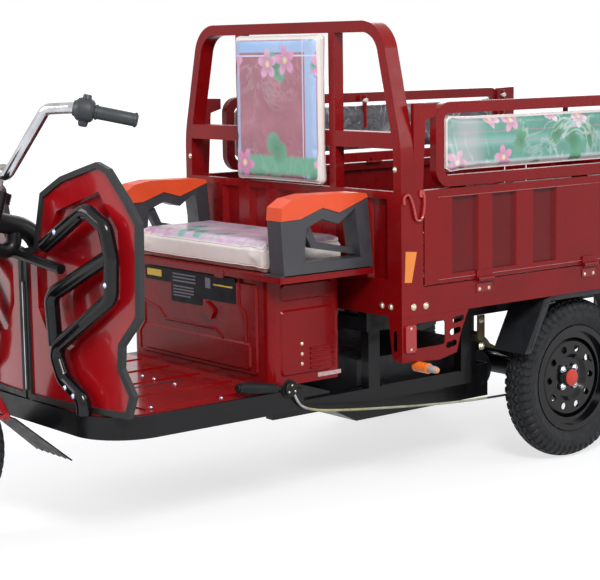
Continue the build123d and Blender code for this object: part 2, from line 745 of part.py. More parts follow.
def pressed_shield(side):
    """One shield: the face sheet, with its middle pressed back to a dish."""
    with BuildPart() as face:
        shield_shell(shield_sheet, 0)
        shield_prism(side, shield_outline_shares, trim_width, Mode.INTERSECT)
        shield_prism(side, press_outline_shares, 0, Mode.SUBTRACT)
    with BuildPart() as hollow:
        shield_shell(press_depth, cut)
        shield_prism(side, press_outline_shares, press_wall, Mode.INTERSECT)
    with BuildPart() as dish:
        shield_shell(shield_sheet + press_depth, 0)
        shield_prism(side, press_outline_shares, 0, Mode.INTERSECT)
        add(hollow.part, mode=Mode.SUBTRACT)
        add(face.part)
    return dish.part


def shield_edge(side):
    """The edge trim of one shield."""
    with BuildPart() as edge:
        shield_shell(trim_depth / 2, trim_depth / 2)
        shield_prism(side, shield_outline_shares, 0, Mode.INTERSECT)
        shield_prism(side, shield_outline_shares, trim_width - fit_gap, Mode.SUBTRACT)
    return edge.part


with BuildPart() as leg_shields:
    for side in both_sides:
        add(pressed_shield(side))
leg_shields.part.label = "leg_shields"
export_step(leg_shields.part, "parts/leg_shields.step")

with BuildPart() as shield_trims:
    for side in both_sides:
        add(shield_edge(side))
shield_trims.part.label = "shield_trims"
export_step(shield_trims.part, "parts/shield_trims.step")

# Guard tubes: an angular hook and a branch in front of each shield
guard_radius = 20.0
guard_bend = 38.0
guard_clearance = 4.0
guard_stand = guard_radius + trim_depth / 2 + guard_clearance


def shield_face(x):
    """Where the guard's centre line runs in front of the shield at this distance from the middle."""
    return shield_mid_y + shield_round - math.sqrt(shield_round ** 2 - x ** 2) - guard_stand


def guard_points(side, route_shares):
    """Places along one guard tube, from shares of the shield's half width and height."""
    places = [(x * shield_edge_x, shield_base + z * shield_height) for x, z in route_shares]
    return [(side * x, shield_face(x), z) for x, z in places]


guard_foot_share = (floor_top + sheet + fit_gap - shield_base) / shield_height
guard_hook_shares = [
    (0.317, 0.658), (0.662, 0.818), (0.802, 0.754), (0.838, 0.634), (0.829, 0.48),
    (0.625, 0.369), (0.371, 0.246), (0.442, 0.132), (0.6, 0.062),
    (0.6, guard_foot_share),
]
guard_branch_shares = [
    (0.833, 0.646), (0.358, 0.462), (0.383, 0.262),
]
with BuildPart() as guard_tubes:
    for side in both_sides:
        for route_shares in (guard_hook_shares, guard_branch_shares):
            tube_along(guard_points(side, route_shares), guard_bend, guard_radius)
guard_tubes.part.label = "guard_tubes"
export_step(guard_tubes.part, "parts/guard_tubes.step")

# Seat box: a folded sheet case with raised panels, open at the top under the lid
lever_room = 60.0
seat_half = floor_half - lever_room
seat_depth = 260.0
seat_rear = seat_front + seat_depth
seat_rise = 312.0
seat_box_top = floor_top + seat_rise
seat_corner = 24.0
panel_rise = 5.0
panel_margin = 26.0
side_split_share = 0.72


def raised_panel(plane, rise, middle, width, height):
    """A bevelled panel standing out of a sheet."""
    with BuildSketch(plane) as foot:
        with Locations(middle):
            RectangleRounded(width, height, bar)
    with BuildSketch(plane.offset(rise)) as crest:
        with Locations(middle):
            RectangleRounded(width - 2 * abs(rise), height - 2 * abs(rise), bar - abs(rise) / 2)
    loft([foot.sketch, crest.sketch])


with BuildPart() as seat_box:
    seat_middle = (seat_front + seat_rear) / 2
    with BuildSketch(Plane.XY.offset(floor_top)):
        with Locations((0, seat_middle)):
            RectangleRounded(2 * seat_half, seat_depth, seat_corner)
    extrude(amount=seat_box_top - floor_top)
    box_height = seat_box_top - floor_top
    side_split = floor_top + box_height * side_split_share
    for side in both_sides:
        lower_panel = (floor_top + panel_margin, side_split - bar)
        upper_panel = (side_split + bar, seat_box_top - panel_margin)
        for low, high in (lower_panel, upper_panel):
            raised_panel(
                across(side * seat_half), side * panel_rise, (seat_middle, (low + high) / 2),
                seat_depth - 2 * panel_margin - seat_corner, high - low,
            )
    front_width = 2 * (seat_half - panel_margin - seat_corner)
    raised_panel(
        facing(seat_front), panel_rise, (0, floor_top + box_height / 2),
        front_width, box_height - 2 * panel_margin,
    )
    raised_panel(
        facing(seat_front - panel_rise), panel_rise, (0, floor_top + box_height / 4),
        front_width - 2 * panel_margin, box_height / 4,
    )
    with BuildSketch(Plane.XY.offset(floor_top + sheet)):
        with Locations((0, seat_middle)):
            RectangleRounded(2 * (seat_half - sheet), seat_depth - 2 * sheet, seat_corner - sheet)
    extrude(amount=box_height, mode=Mode.SUBTRACT)
seat_box.part.label = "seat_box"
export_step(seat_box.part, "parts/seat_box.step")

# Battery box under the bed: a tray with a sloped nose, hung on the low rails
tray_inset = 30.0
tray_lead = 88.0
tray_nose = 100.0
tray_drop = 151.0
motor_room = 209.0
tray_half = rail_x - tray_inset
tray_front = bed_front - tray_lead
tray_rear = axle_y - motor_room
tray_bottom = floor_top - tray_drop
tray_flange_y = (post_y + post_depth + move_gap, low_rail_rear - post_depth - move_gap)
battery_side_gap = 25.0
battery_height = 170.0
tray_top = low_rail_bottom + low_rail_depth


def tray_solid(half, wall, rise, mode):
    """The tray's side outline, set in by a wall and drawn up by a rise, across its width."""
    with BuildSketch(across(-half)) as profile:
        with BuildLine():
            Polyline(
                (tray_front + wall, tray_bottom + tray_nose / 2 + wall / 2),
                (tray_front + tray_nose, tray_bottom + wall),
                (tray_rear - wall, tray_bottom + wall), (tray_rear - wall, tray_top + rise),
                (tray_front + wall, tray_top + rise), close=True,
            )
        make_face()
    extrude(profile.sketch, amount=2 * half, mode=mode)


with BuildPart() as battery_tray:
    tray_solid(tray_half, 0, 0, Mode.ADD)
    tray_solid(tray_half - sheet, sheet, cut, Mode.SUBTRACT)
    for side in both_sides:
        flange_x = (side * (tray_half - sheet), side * (low_rail_x + low_rail_width / 2))
        slab(flange_x, tray_flange_y, (tray_top, tray_top + sheet))
battery_tray.part.label = "battery_tray"
export_step(battery_tray.part, "parts/battery_tray.step")

with BuildPart() as battery_pack:
    slab(
        (-tray_half + battery_side_gap, tray_half - battery_side_gap),
        (tray_front + tray_nose + battery_side_gap, tray_rear - battery_side_gap),
        (tray_bottom + sheet, tray_bottom + sheet + battery_height),
    )
battery_pack.part.label = "battery_pack"
export_step(battery_pack.part, "parts/battery_pack.step")

# Cargo bed frame: side, front and end beams, cross members, corner posts with latch arms
beam_thick = 30.0
cross_count = 5
cross_width = 40.0
floor_sheet_drop = 8.0
floor_sheet_top = beam_top - floor_sheet_drop
post_length = 34.0
post_width = 30.0
post_sheet = 4.0
arm_rise = 243.0
arm_reach = 53.0
arm_depth = 36.0
hoop_depth = 48.0
hoop_tube = 32.0
front_post = (bed_front + hoop_depth + fit_gap, bed_front + hoop_depth + post_length)
rear_post = (bed_rear - hoop_depth - post_length, bed_rear - hoop_depth)
arm_top = board_top + arm_rise
with BuildPart() as bed_frame:
    with BuildSketch(Plane.XY.offset(beam_bottom)) as beams:
        with Locations((0, (bed_front + bed_rear) / 2)):
            Rectangle(bed_width, bed_length)
            Rectangle(bed_width - 2 * beam_thick, bed_length - 2 * beam_thick, mode=Mode.SUBTRACT)
    extrude(beams.sketch, amount=beam_height)
    pitch = (bed_length - 2 * beam_thick) / (cross_count + 1)
    for number in range(cross_count):
        y = bed_front + beam_thick + (number + 1) * pitch
        slab(
            (-bed_side + beam_thick, bed_side - beam_thick), (y - cross_width / 2, y + cross_width / 2),
            (beam_bottom, floor_sheet_top - sheet),
        )
    for side in both_sides:
        outer_x = side * bed_side
        for span, toward in ((front_post, 1), (rear_post, -1)):
            slab((outer_x - side * post_width, outer_x), span, (beam_top, board_top))
            inner_y = span[1] if toward > 0 else span[0]
            back_y = span[0] if toward > 0 else span[1]
            with BuildSketch(across(outer_x - side * bar)) as arm:
                with BuildLine():
                    tip_y = inner_y + toward * arm_reach
                    Polyline(
                        (back_y, board_top), (back_y, arm_top), (tip_y, arm_top - sheet),
                        (tip_y, arm_top - arm_depth), (inner_y + toward * bar, arm_top - arm_depth - bar),
                        (inner_y, board_top), close=True,
                    )
                make_face()
            extrude(arm.sketch, amount=side * bar)
        rear_outer = (rear_post[1], bed_rear)
        slab((outer_x - side * post_width, outer_x), rear_outer, (beam_top, board_top))
bed_frame.part.label = "bed_frame"
export_step(bed_frame.part, "parts/bed_frame.step")

# Bed floor: a ribbed sheet laid on the cross members
rib_count = 9
rib_height = 8.0
with BuildPart() as bed_floor:
    inner_half = bed_side - beam_thick - fit_gap
    inner_front = bed_front + beam_thick + fit_gap
    inner_rear = bed_rear - beam_thick - fit_gap
    slab((-inner_half, inner_half), (inner_front, inner_rear), (floor_sheet_top - sheet, floor_sheet_top))
    pitch = 2 * inner_half / rib_count
    for number in range(rib_count):
        middle = -inner_half + (number + 0.5) * pitch
        with BuildSketch(facing(inner_rear - cut)) as rib:
            with Locations((middle, floor_sheet_top + rib_height / 2)):
                Trapezoid(pitch / 3, rib_height, 60)
        extrude(rib.sketch, amount=inner_rear - inner_front - 3 * cut)
bed_floor.part.label = "bed_floor"
export_step(bed_floor.part, "parts/bed_floor.step")


def corrugated(start, recesses, end, face, depth, thick):
    """Points of a pressed sheet seen along its ribs: recesses are (from, to) spans, depth is signed."""
    slope = abs(depth)
    step = math.copysign(thick, depth)
    front = [(start, face)]
    back = [(start, face + step)]
    for low, high in recesses:
        front += [(low, face), (low + slope, face + depth), (high - slope, face + depth), (high, face)]
        back += [
            (low - thick / 2, face + step), (low + slope - thick / 2, face + depth + step),
            (high - slope + thick / 2, face + depth + step), (high + thick / 2, face + step),
        ]
    front.append((end, face))
    back.append((end, face + step))
    return front + back[::-1]


# Front board of the bed: a corrugated wall under the hoop, with a folded top edge
board_rib_depth = 14.0
board_rib_share = 0.62
board_ribs = 7
top_fold = 22.0
board_half = bed_side - hoop_tube - fit_gap
with BuildPart() as front_board:
    pitch = 2 * board_half / board_ribs
    middles = [-board_half + (number + 0.5) * pitch for number in range(board_ribs)]
    rib_half = pitch * board_rib_share / 2
    spans = [(middle - rib_half, middle + rib_half) for middle in middles]
    with BuildSketch(Plane.XY.offset(beam_top + top_fold)) as wall:
        with BuildLine():
            wall_points = corrugated(-board_half, spans, board_half, bed_front, board_rib_depth, sheet)
            Polyline(*wall_points, close=True)
        make_face()
    extrude(wall.sketch, amount=board_height - 2 * top_fold)
    for low in (beam_top, board_top - top_fold):
        fold_rear = bed_front + board_rib_depth + sheet
        slab((-board_half, board_half), (bed_front, fold_rear), (low, low + top_fold))
front_board.part.label = "front_board"
export_step(front_board.part, "parts/front_board.step")

# Roll hoop: a flat-sided tube arch with a cross bar and two uprights for the backrest
hoop_rise = 473.0
hoop_inset = 82.0
crown_bend_share = 0.2114
side_bend_share = 0.8034
shoulder_share = 0.275
cross_share = 0.25
cross_depth = 45.0
hoop_top = board_top + hoop_rise
hoop_shoulder = board_top + shoulder_share * hoop_rise
hoop_crown_half = bed_side - hoop_inset
hoop_crown_bend = crown_bend_share * hoop_rise
hoop_side_bend = side_bend_share * hoop_rise
cross_low = board_top + cross_share * hoop_rise
cross_high = cross_low + cross_depth
upright_inner = 207.0
upright_outer = 235.0
with BuildPart() as hoop:
    with BuildSketch(facing(bed_front + hoop_depth)) as arch:
        with BuildLine():
            FilletPolyline(
                (bed_side, beam_top), (bed_side, hoop_shoulder), (hoop_crown_half, hoop_top),
                (-hoop_crown_half, hoop_top), (-bed_side, hoop_shoulder), (-bed_side, beam_top),
                radius=[hoop_side_bend, hoop_crown_bend, hoop_crown_bend, hoop_side_bend],
            )
            Line((-bed_side, beam_top), (bed_side, beam_top))
        make_face()
        offset(amount=-hoop_tube, mode=Mode.SUBTRACT)
        with Locations((0, beam_top)):
            Rectangle(2 * (bed_side - hoop_tube), 4 * hoop_tube, mode=Mode.SUBTRACT)
        with Locations((0, (cross_low + cross_high) / 2)):
            Rectangle(2 * (bed_side - hoop_tube / 2), cross_high - cross_low)
    extrude(arch.sketch, amount=hoop_depth)
    for side in both_sides:
        slab(
            (side * upright_inner, side * upright_outer), (bed_front, bed_front + hoop_tube),
            (board_top + fit_gap, hoop_top - hoop_tube / 2),
        )
hoop.part.label = "hoop"
export_step(hoop.part, "parts/hoop.step")

# Backrest cushion, on the front of the uprights
backrest_bottom = board_top + 2 * fit_gap
backrest_drop = 30.0
backrest_top = hoop_top - backrest_drop
backrest_thick = 36.0
backrest_corner = 18.0
with BuildPart() as backrest:
    with BuildSketch(facing(bed_front - fit_gap)) as pad:
        with Locations((0, (backrest_bottom + backrest_top) / 2)):
            RectangleRounded(2 * (upright_inner + sheet), backrest_top - backrest_bottom, backrest_corner)
    extrude(pad.sketch, amount=backrest_thick)
    fillet(backrest.faces().sort_by(Axis.Y)[0].edges(), radius=backrest_corner / 2)
backrest.part.label = "backrest"
export_step(backrest.part, "parts/backrest.step")

# Corner skirts: pressed brackets with windows under the bed's front corners
skirt_drop = 124.0
skirt_length = 260.0
skirt_front_width = 58.0
skirt_lip = 14.0
window_corner = 12.0
lamp_setback = 64.0
lamp_y = bed_front + lamp_setback
# Side outline: shares of the skirt's length behind its front edge, shares of its drop below the beam
skirt_sag_share = 0.08
skirt_sag_place_share = 0.55
window_place_share = 0.42
window_length_share = 0.44
window_height_share = 0.58
window_drop_share = 0.45
front_slot_drop_share = 0.55
slot_lean = 8.0
skirt_outline_shares = [
    (0, 0), (0, 1), (skirt_sag_place_share, 1 + skirt_sag_share), (0.82, 0.97), (0.89, 0.48), (1, 0),
]
skirt_slot_shares = [(0.845, 0.2), (0.8, 0.47), (0.74, 0.76)]
slot_length = 44.0
slot_width = 18.0
with BuildPart() as corner_skirts:
    for side in both_sides:
        outer_x = side * bed_side
        with BuildSketch(across(outer_x - side * sheet)) as skirt:
            with BuildLine():
                hem_points = [
                    (bed_front + y * skirt_length, beam_bottom - fit_gap - z * skirt_drop)
                    for y, z in skirt_outline_shares
                ]
                Polyline(*hem_points, close=True)
            make_face()
            window_y = bed_front + skirt_length * window_place_share
            with Locations((window_y, beam_bottom - skirt_drop * window_drop_share)):
                RectangleRounded(
                    skirt_length * window_length_share, skirt_drop * window_height_share, window_corner,
                    mode=Mode.SUBTRACT,
                )
            for y, z in skirt_slot_shares:
                with Locations((bed_front + y * skirt_length, beam_bottom - z * skirt_drop)):
                    SlotOverall(slot_length, slot_width, rotation=slot_lean, mode=Mode.SUBTRACT)
        extrude(skirt.sketch, amount=side * sheet)
        with BuildSketch(facing(bed_front + sheet)) as front:
            with BuildLine():
                Polyline(
                    (outer_x, beam_bottom - fit_gap), (outer_x, beam_bottom - skirt_drop),
                    (outer_x - side * skirt_front_width * 2 / 3, beam_bottom - skirt_drop),
                    (outer_x - side * skirt_front_width, beam_bottom - fit_gap), close=True,
                )
            make_face()
            slot_z = beam_bottom - skirt_drop * front_slot_drop_share
            with Locations((outer_x - side * skirt_front_width / 2, slot_z)):
                SlotOverall(skirt_drop / 2, slot_width, rotation=90, mode=Mode.SUBTRACT)
        extrude(front.sketch, amount=sheet)
        slab(
            (outer_x - side * skirt_lip, outer_x), (bed_front, bed_front + skirt_length / 2),
            (beam_bottom - skirt_drop - sheet, beam_bottom - skirt_drop),
        )
corner_skirts.part.label = "corner_skirts"
export_step(corner_skirts.part, "parts/corner_skirts.step")

# Marker lamps on rubber stalks, one under each front corner
marker_radius = 15.0
marker_length = 54.0
stalk_radius = 8.0
stalk_length = 36.0
hem_share = 1 + skirt_sag_share * (lamp_y - bed_front) / (skirt_length * skirt_sag_place_share)
marker_z = beam_bottom - skirt_drop * hem_share - 2 * fit_gap - marker_radius
with BuildPart() as marker_lamps:
    for side in both_sides:
        inner_x = side * (bed_side - skirt_lip)
        with BuildSketch(Plane.YZ.offset(inner_x)) as body:
            with Locations((lamp_y, marker_z)):
                Circle(marker_radius)
        extrude(body.sketch, amount=side * marker_length)
        with BuildSketch(Plane.YZ.offset(inner_x + side * marker_length)) as stalk:
            with Locations((lamp_y, marker_z)):
                Circle(stalk_radius)
        extrude(stalk.sketch, amount=side * stalk_length)
marker_lamps.part.label = "marker_lamps"
export_step(marker_lamps.part, "parts/marker_lamps.step")

# Rear mudguards: bent sheets over the wheels, with an outer lip
guard_outer_reach = 70.0
guard_inner_reach = 60.0
guard_hem_drop = 166.0
guard_outer_x = rear_wheel_x + guard_outer_reach
guard_inner_x = rear_wheel_x - guard_inner_reach
guard_reach = 262.0
guard_hem = beam_bottom - guard_hem_drop
guard_brow = 140.0
guard_lip = 28.0
guard_knee = 178.0
with BuildPart() as mudguards:
    guard_top = beam_bottom - fit_gap

    for side in both_sides:
        outline = [
            (-guard_reach, guard_hem), (-guard_knee, guard_top - 3 * sheet), (-guard_brow, guard_top),
            (guard_brow, guard_top), (guard_knee, guard_top - 3 * sheet), (guard_reach, guard_hem),
        ]
        under = [
            (guard_reach - sheet, guard_hem), (guard_knee - sheet, guard_top - 4 * sheet),
            (guard_brow - sheet / 2, guard_top - sheet), (-guard_brow + sheet / 2, guard_top - sheet),
            (-guard_knee + sheet, guard_top - 4 * sheet), (-guard_reach + sheet, guard_hem),
        ]
        deep = [
            (guard_reach - guard_lip, guard_hem), (guard_knee - guard_lip, guard_top - 5 * sheet),
            (-guard_knee + guard_lip, guard_top - 5 * sheet), (-guard_reach + guard_lip, guard_hem),
        ]
        with BuildSketch(across(side * guard_inner_x)) as roof:
            with BuildLine():
                Polyline(*[(axle_y + y, z) for y, z in outline + under], close=True)
            make_face()
        extrude(roof.sketch, amount=side * (guard_outer_x - guard_inner_x))
        with BuildSketch(across(side * guard_outer_x)) as lip:
            with BuildLine():
                Polyline(*[(axle_y + y, z) for y, z in outline + deep], close=True)
            make_face()
        extrude(lip.sketch, amount=-side * sheet)
mudguards.part.label = "mudguards"
export_step(mudguards.part, "parts/mudguards.step")

# Rear axle: tube, differential case, drive motor and the wheel shafts
axle_tube = 30.0
case_radius = 84.0
case_half = 70.0
motor_radius = 62.0
motor_length = 210.0
motor_forward = 128.0
back_plate_radius = 84.0
back_plate_gap = 6.0
seat_pad = 46.0
spring_x = rail_x
spring_leaf = 8.0
with BuildPart() as rear_axle:
    centre = (0, axle_y, rear_tyre_radius)
    tube_end = drum_inner_x - back_plate_gap
    rod((-tube_end, axle_y, rear_tyre_radius), (tube_end, axle_y, rear_tyre_radius), axle_tube)
    hub_outer = rear_wheel_x + rim_sheet
    rod((-hub_outer, axle_y, rear_tyre_radius), (hub_outer, axle_y, rear_tyre_radius), shaft_radius)
    with BuildSketch(wheel_plane(*centre)) as case:
        with BuildLine():
            Polyline(
                (-case_half - axle_tube, 0), (-case_half - axle_tube, axle_tube),
                (-case_half, case_radius * 2 / 3), (-case_half / 2, case_radius),
                (case_half / 2, case_radius), (case_half, case_radius * 2 / 3),
                (case_half + axle_tube, axle_tube), (case_half + axle_tube, 0), close=True,
            )
        make_face()
    revolve(case.sketch, axis=Axis(centre, (1, 0, 0)))
    rod(
        (-case_half / 2, axle_y - motor_forward, rear_tyre_radius),
        (-case_half / 2 + motor_length, axle_y - motor_forward, rear_tyre_radius), motor_radius,
    )
    for side in both_sides:
        rod(
            (side * (drum_inner_x - back_plate_gap - rim_sheet), axle_y, rear_tyre_radius),
            (side * (drum_inner_x - back_plate_gap), axle_y, rear_tyre_radius), back_plate_radius,
        )
        slab(
            (side * (spring_x - seat_pad / 2), side * (spring_x + seat_pad / 2)),
            (axle_y - seat_pad, axle_y + seat_pad),
            (rear_tyre_radius, rear_tyre_radius + axle_tube + spring_leaf),
        )
rear_axle.part.label = "rear_axle"
export_step(rear_axle.part, "parts/rear_axle.step")

# Leaf springs: three leaves each, eyes at both ends, shackle plates up to the rails
spring_width = 40.0
spring_reach = 292.0
eye_radius = 14.0
eye_rise = 123.0
eye_level = rear_tyre_radius + eye_rise
leaf_base = rear_tyre_radius + axle_tube + spring_leaf + fit_gap
leaf_count = 3
leaf_step_share = 0.24
shackle_thick = 6.0
shackle_top = beam_bottom - rail_depth - fit_gap
with BuildPart() as leaf_springs:
    rise = eye_level - leaf_base
    arc_radius = (spring_reach ** 2 + rise ** 2) / (2 * rise)
    for side in both_sides:
        middle_x = side * spring_x
        for number in range(leaf_count):
            reach = spring_reach * (1 - number * leaf_step_share)
            drop = number * spring_leaf
            top_radius = arc_radius - (leaf_count - number) * spring_leaf
            low_radius = top_radius + spring_leaf
            with BuildSketch(across(middle_x - spring_width / 2)) as leaf:
                with Locations((axle_y, leaf_base + arc_radius)):
                    Circle(low_radius)
                    Circle(top_radius, mode=Mode.SUBTRACT)
                with Locations((axle_y, leaf_base + 2 * rise)):
                    Rectangle(2 * reach, 4 * rise, mode=Mode.INTERSECT)
            extrude(leaf.sketch, amount=spring_width)
        for end in both_sides:
            eye_y = axle_y + end * spring_reach
            eye_arc = arc_radius - leaf_count * spring_leaf
            eye_z = leaf_base + arc_radius - math.sqrt(eye_arc ** 2 - spring_reach ** 2)
            eye_half = spring_width / 2
            rod((middle_x - eye_half, eye_y, eye_z), (middle_x + eye_half, eye_y, eye_z), eye_radius)
            for face in both_sides:
                plate_x = middle_x + face * (spring_width / 2 + shackle_thick / 2)
                with BuildSketch(across(plate_x - shackle_thick / 2)) as shackle:
                    with Locations((eye_y, (eye_z + shackle_top) / 2)):
                        Rectangle(2 * eye_radius, shackle_top - eye_z)
                    with Locations((eye_y, eye_z)):
                        Circle(eye_radius)
                extrude(shackle.sketch, amount=shackle_thick)
leaf_springs.part.label = "leaf_springs"
export_step(leaf_springs.part, "parts/leaf_springs.step")

# Parking brake: a lever with a grip sleeve over the left side of the floor frame
lever_inset = 4.0
lever_x = floor_half - lever_inset
lever_setback = 52.0
lever_reach = 170.0
lever_rise = 6.0
lever_lift = 24.0
lever_pivot = (floor_rear - lever_setback, floor_top + lever_rise)
lever_end = (lever_pivot[0] - lever_reach, lever_pivot[1] + lever_lift)
lever_radius = 7.0
sleeve_radius = 13.0
sleeve_length = 130.0
lever_plate_radius = 26.0
lever_plate_thick = 5.0
with BuildPart() as parking_lever:
    pivot = Vector(lever_x, *lever_pivot)
    end = Vector(lever_x, *lever_end)
    along = (pivot - end).normalized()
    rod(tuple(end), tuple(pivot), lever_radius)
    rod(tuple(end), tuple(end + along * sleeve_length), sleeve_radius)
    pivot_outer = floor_half + lever_plate_thick
    rod((floor_half - 2 * lever_radius, *lever_pivot), (pivot_outer, *lever_pivot), lever_radius)
    slab(
        (0, 2 * floor_half), (floor_rear - 2 * floor_half, floor_rear + cut),
        (floor_top - floor_frame_height, floor_top + fit_gap), mode=Mode.SUBTRACT,
    )
    with BuildSketch(across(floor_half + fit_gap)) as ear:
        with Locations(lever_pivot):
            Circle(lever_plate_radius)
    extrude(ear.sketch, amount=lever_plate_thick)
parking_lever.part.label = "parking_lever"
export_step(parking_lever.part, "parts/parking_lever.step")

# Brake cable: from the lever plate, in a slack loop and back to the left wheel's drum plate
cable_radius = 3.5
cable_x = floor_half + lever_plate_thick + cable_radius + 2 * fit_gap
cable_end_x = drum_inner_x - back_plate_gap - rim_sheet - cable_radius - fit_gap
cable_bend = 40.0
# Near the lever: inward from the plate, behind the pivot, above the floor
cable_lead = [(0.0, 0.0, 22.0), (0.0, 16.0, -30.0), (4.0, 60.0, -62.0), (6.0, 202.0, -84.0)]
# Near the wheel: ahead of the axle, above the floor; the first place is inward by the cable's slack
cable_tail = [(280.0, -140.0), (60.0, -142.0)]
cable_slack = (20.0, 520.0, -122.0)
cable_points = [(cable_x - inward, lever_pivot[0] + back, floor_top + up) for inward, back, up in cable_lead]
cable_points.append((cable_x - cable_slack[0], axle_y - cable_slack[1], floor_top + cable_slack[2]))
cable_points += [(cable_end_x, axle_y - ahead, floor_top + up) for ahead, up in cable_tail]
with BuildPart() as brake_cable:
    tube_along(cable_points, cable_bend, cable_radius)
brake_cable.part.label = "brake_cable"
export_step(brake_cable.part, "parts/brake_cable.step")

# Tail lamps, on the rear bar
tail_width = 110.0
tail_height = 58.0
tail_depth = 38.0
with BuildPart() as tail_lamps:
    for side in both_sides:
        with BuildSketch(Plane.XZ.offset(-rear_bar_y - rear_bar_thick - fit_gap)) as lens:
            with Locations((side * (rear_bar_half - tail_width / 2), rear_bar_level + rear_bar_depth / 2)):
                RectangleRounded(tail_width, tail_height, bar)
        extrude(lens.sketch, amount=-tail_depth)
        chamfer(tail_lamps.faces().sort_by(Axis.Y)[-1].edges(), length=lamp_wall)
tail_lamps.part.label = "tail_lamps"
export_step(tail_lamps.part, "parts/tail_lamps.step")

# Bench hinges: pins along the inner top edge of the side gates, knuckles side by side
bench_pin_inset = 39.0
bench_pin_rise = 2.0
bench_pin_radius = 5.0
bench_hinge_shares = (0.12, 0.5, 0.88)
bench_knuckle = 22.0
bench_pin_z = board_top + bench_pin_rise

# Side gates: corrugated boards hinged on the side beams
gate_thick = 25.0
gate_front = front_post[1] + move_gap
gate_rear = rear_post[0] - move_gap
gate_lift = 4.0
gate_bottom = beam_top + gate_lift
gate_rail = 24.0
recess_depth = 12.0
gate_length = gate_rear - gate_front
hinge_width = 64.0
hinge_thick = 5.0
# Pressed recesses as shares of the gate's length, mirrored about its middle
recess_shares = [(0.078, 0.156), (0.196, 0.27), (0.32, 0.395), (0.605, 0.68), (0.73, 0.804), (0.844, 0.922)]
gate_hinge_shares = (0.17, 0.5, 0.83)
gate_pin_rise = 2.0
gate_pin_z = beam_top + gate_pin_rise

# Folding benches: a tube frame and a pad, as high as the latch arms
bench_end_gap = 53.0
bench_front = gate_front + bench_end_gap
bench_rear = gate_rear - bench_end_gap
bench_bottom = board_top + gate_lift
bench_top = arm_top
bench_tube_y = 32.0
bench_tube = 25.0
bench_corner = 52.0
bench_inset = 8.0
pad_thick = 50.0
bench_middle = ((bench_front + bench_rear) / 2, (bench_bottom + bench_top) / 2)
bench_size = (bench_rear - bench_front, bench_top - bench_bottom)
pad_size = [size - 2 * bench_tube_y - 2 * fit_gap for size in bench_size]

for side, word in ((1, "left"), (-1, "right")):
    outer_x = side * bed_side
    with BuildPart() as side_gate:
        spans = [
            (gate_front + low * gate_length, gate_front + high * gate_length) for low, high in recess_shares
        ]
        points = corrugated(gate_front, spans, gate_rear, outer_x, -side * recess_depth, sheet)
        with BuildSketch(Plane.XY.offset(gate_bottom + gate_rail)) as wall:
            with BuildLine():
                Polyline(*[(x, y) for y, x in points], close=True)
            make_face()
        extrude(wall.sketch, amount=board_top - gate_bottom - 2 * gate_rail)
        for low in (gate_bottom, board_top - gate_rail):
            slab((outer_x - side * gate_thick, outer_x), (gate_front, gate_rear), (low, low + gate_rail))
        for share in gate_hinge_shares:
            middle = gate_front + share * gate_length
            rod(
                (outer_x + side * gate_pin_reach, middle - hinge_width / 2, gate_pin_z),
                (outer_x + side * gate_pin_reach, middle + hinge_width / 2, gate_pin_z), gate_pin_radius,
            )
            slab(
                (outer_x - side * sheet, outer_x + side * hinge_thick),
                (middle - hinge_width / 2, middle + hinge_width / 2), (gate_pin_z, gate_bottom + gate_rail),
            )
        pin_x = outer_x - side * bench_pin_inset
        for share in bench_hinge_shares:
            middle = gate_front + share * gate_length
            for end in both_sides:
                near = middle + end * (bench_knuckle / 2 + fit_gap)
                knuckle = (near, middle + end * 3 * bench_knuckle / 2)
                rod((pin_x, knuckle[0], bench_pin_z), (pin_x, knuckle[1], bench_pin_z), bench_pin_radius)
                slab(
                    (pin_x, outer_x - side * (gate_thick - sheet)), knuckle,
                    (bench_pin_z - bench_pin_radius, board_top),
                )
    side_gate.part.label = "side_gate_" + word
    export_step(side_gate.part, "parts/side_gate_" + word + ".step")

    # Folding bench above the gate: a tube frame round a cushion that faces out when raised
    bench_outer_x = outer_x - side * bench_inset
    with BuildPart() as bench_frame:
        with BuildSketch(across(bench_outer_x)) as ring:
            with Locations(bench_middle):
                RectangleRounded(*bench_size, bench_corner)
                RectangleRounded(
                    bench_size[0] - 2 * bench_tube_y, bench_size[1] - 2 * bench_tube_y,
                    bench_corner - bench_tube_y, mode=Mode.SUBTRACT,
                )
        extrude(ring.sketch, amount=-side * bench_tube)
        for share in bench_hinge_shares:
            middle = gate_front + share * gate_length
            knuckle = (middle - bench_knuckle / 2, middle + bench_knuckle / 2)
            rod((pin_x, knuckle[0], bench_pin_z), (pin_x, knuckle[1], bench_pin_z), bench_pin_radius)
            slab(
                (pin_x, bench_outer_x - side * (bench_tube - sheet)), knuckle,
                (bench_bottom, bench_pin_z + 3 * bench_pin_radius),
            )
    bench_frame.part.label = "bench_frame_" + word
    export_step(bench_frame.part, "parts/bench_frame_" + word + ".step")

    with BuildPart() as bench_pad:
        with BuildSketch(across(bench_outer_x + side * bench_inset)) as pad:
            with Locations(bench_middle):
                RectangleRounded(*pad_size, bench_corner - bench_tube_y)
        extrude(pad.sketch, amount=-side * pad_thick)
    bench_pad.part.label = "bench_pad_" + word
    export_step(bench_pad.part, "parts/bench_pad_" + word + ".step")

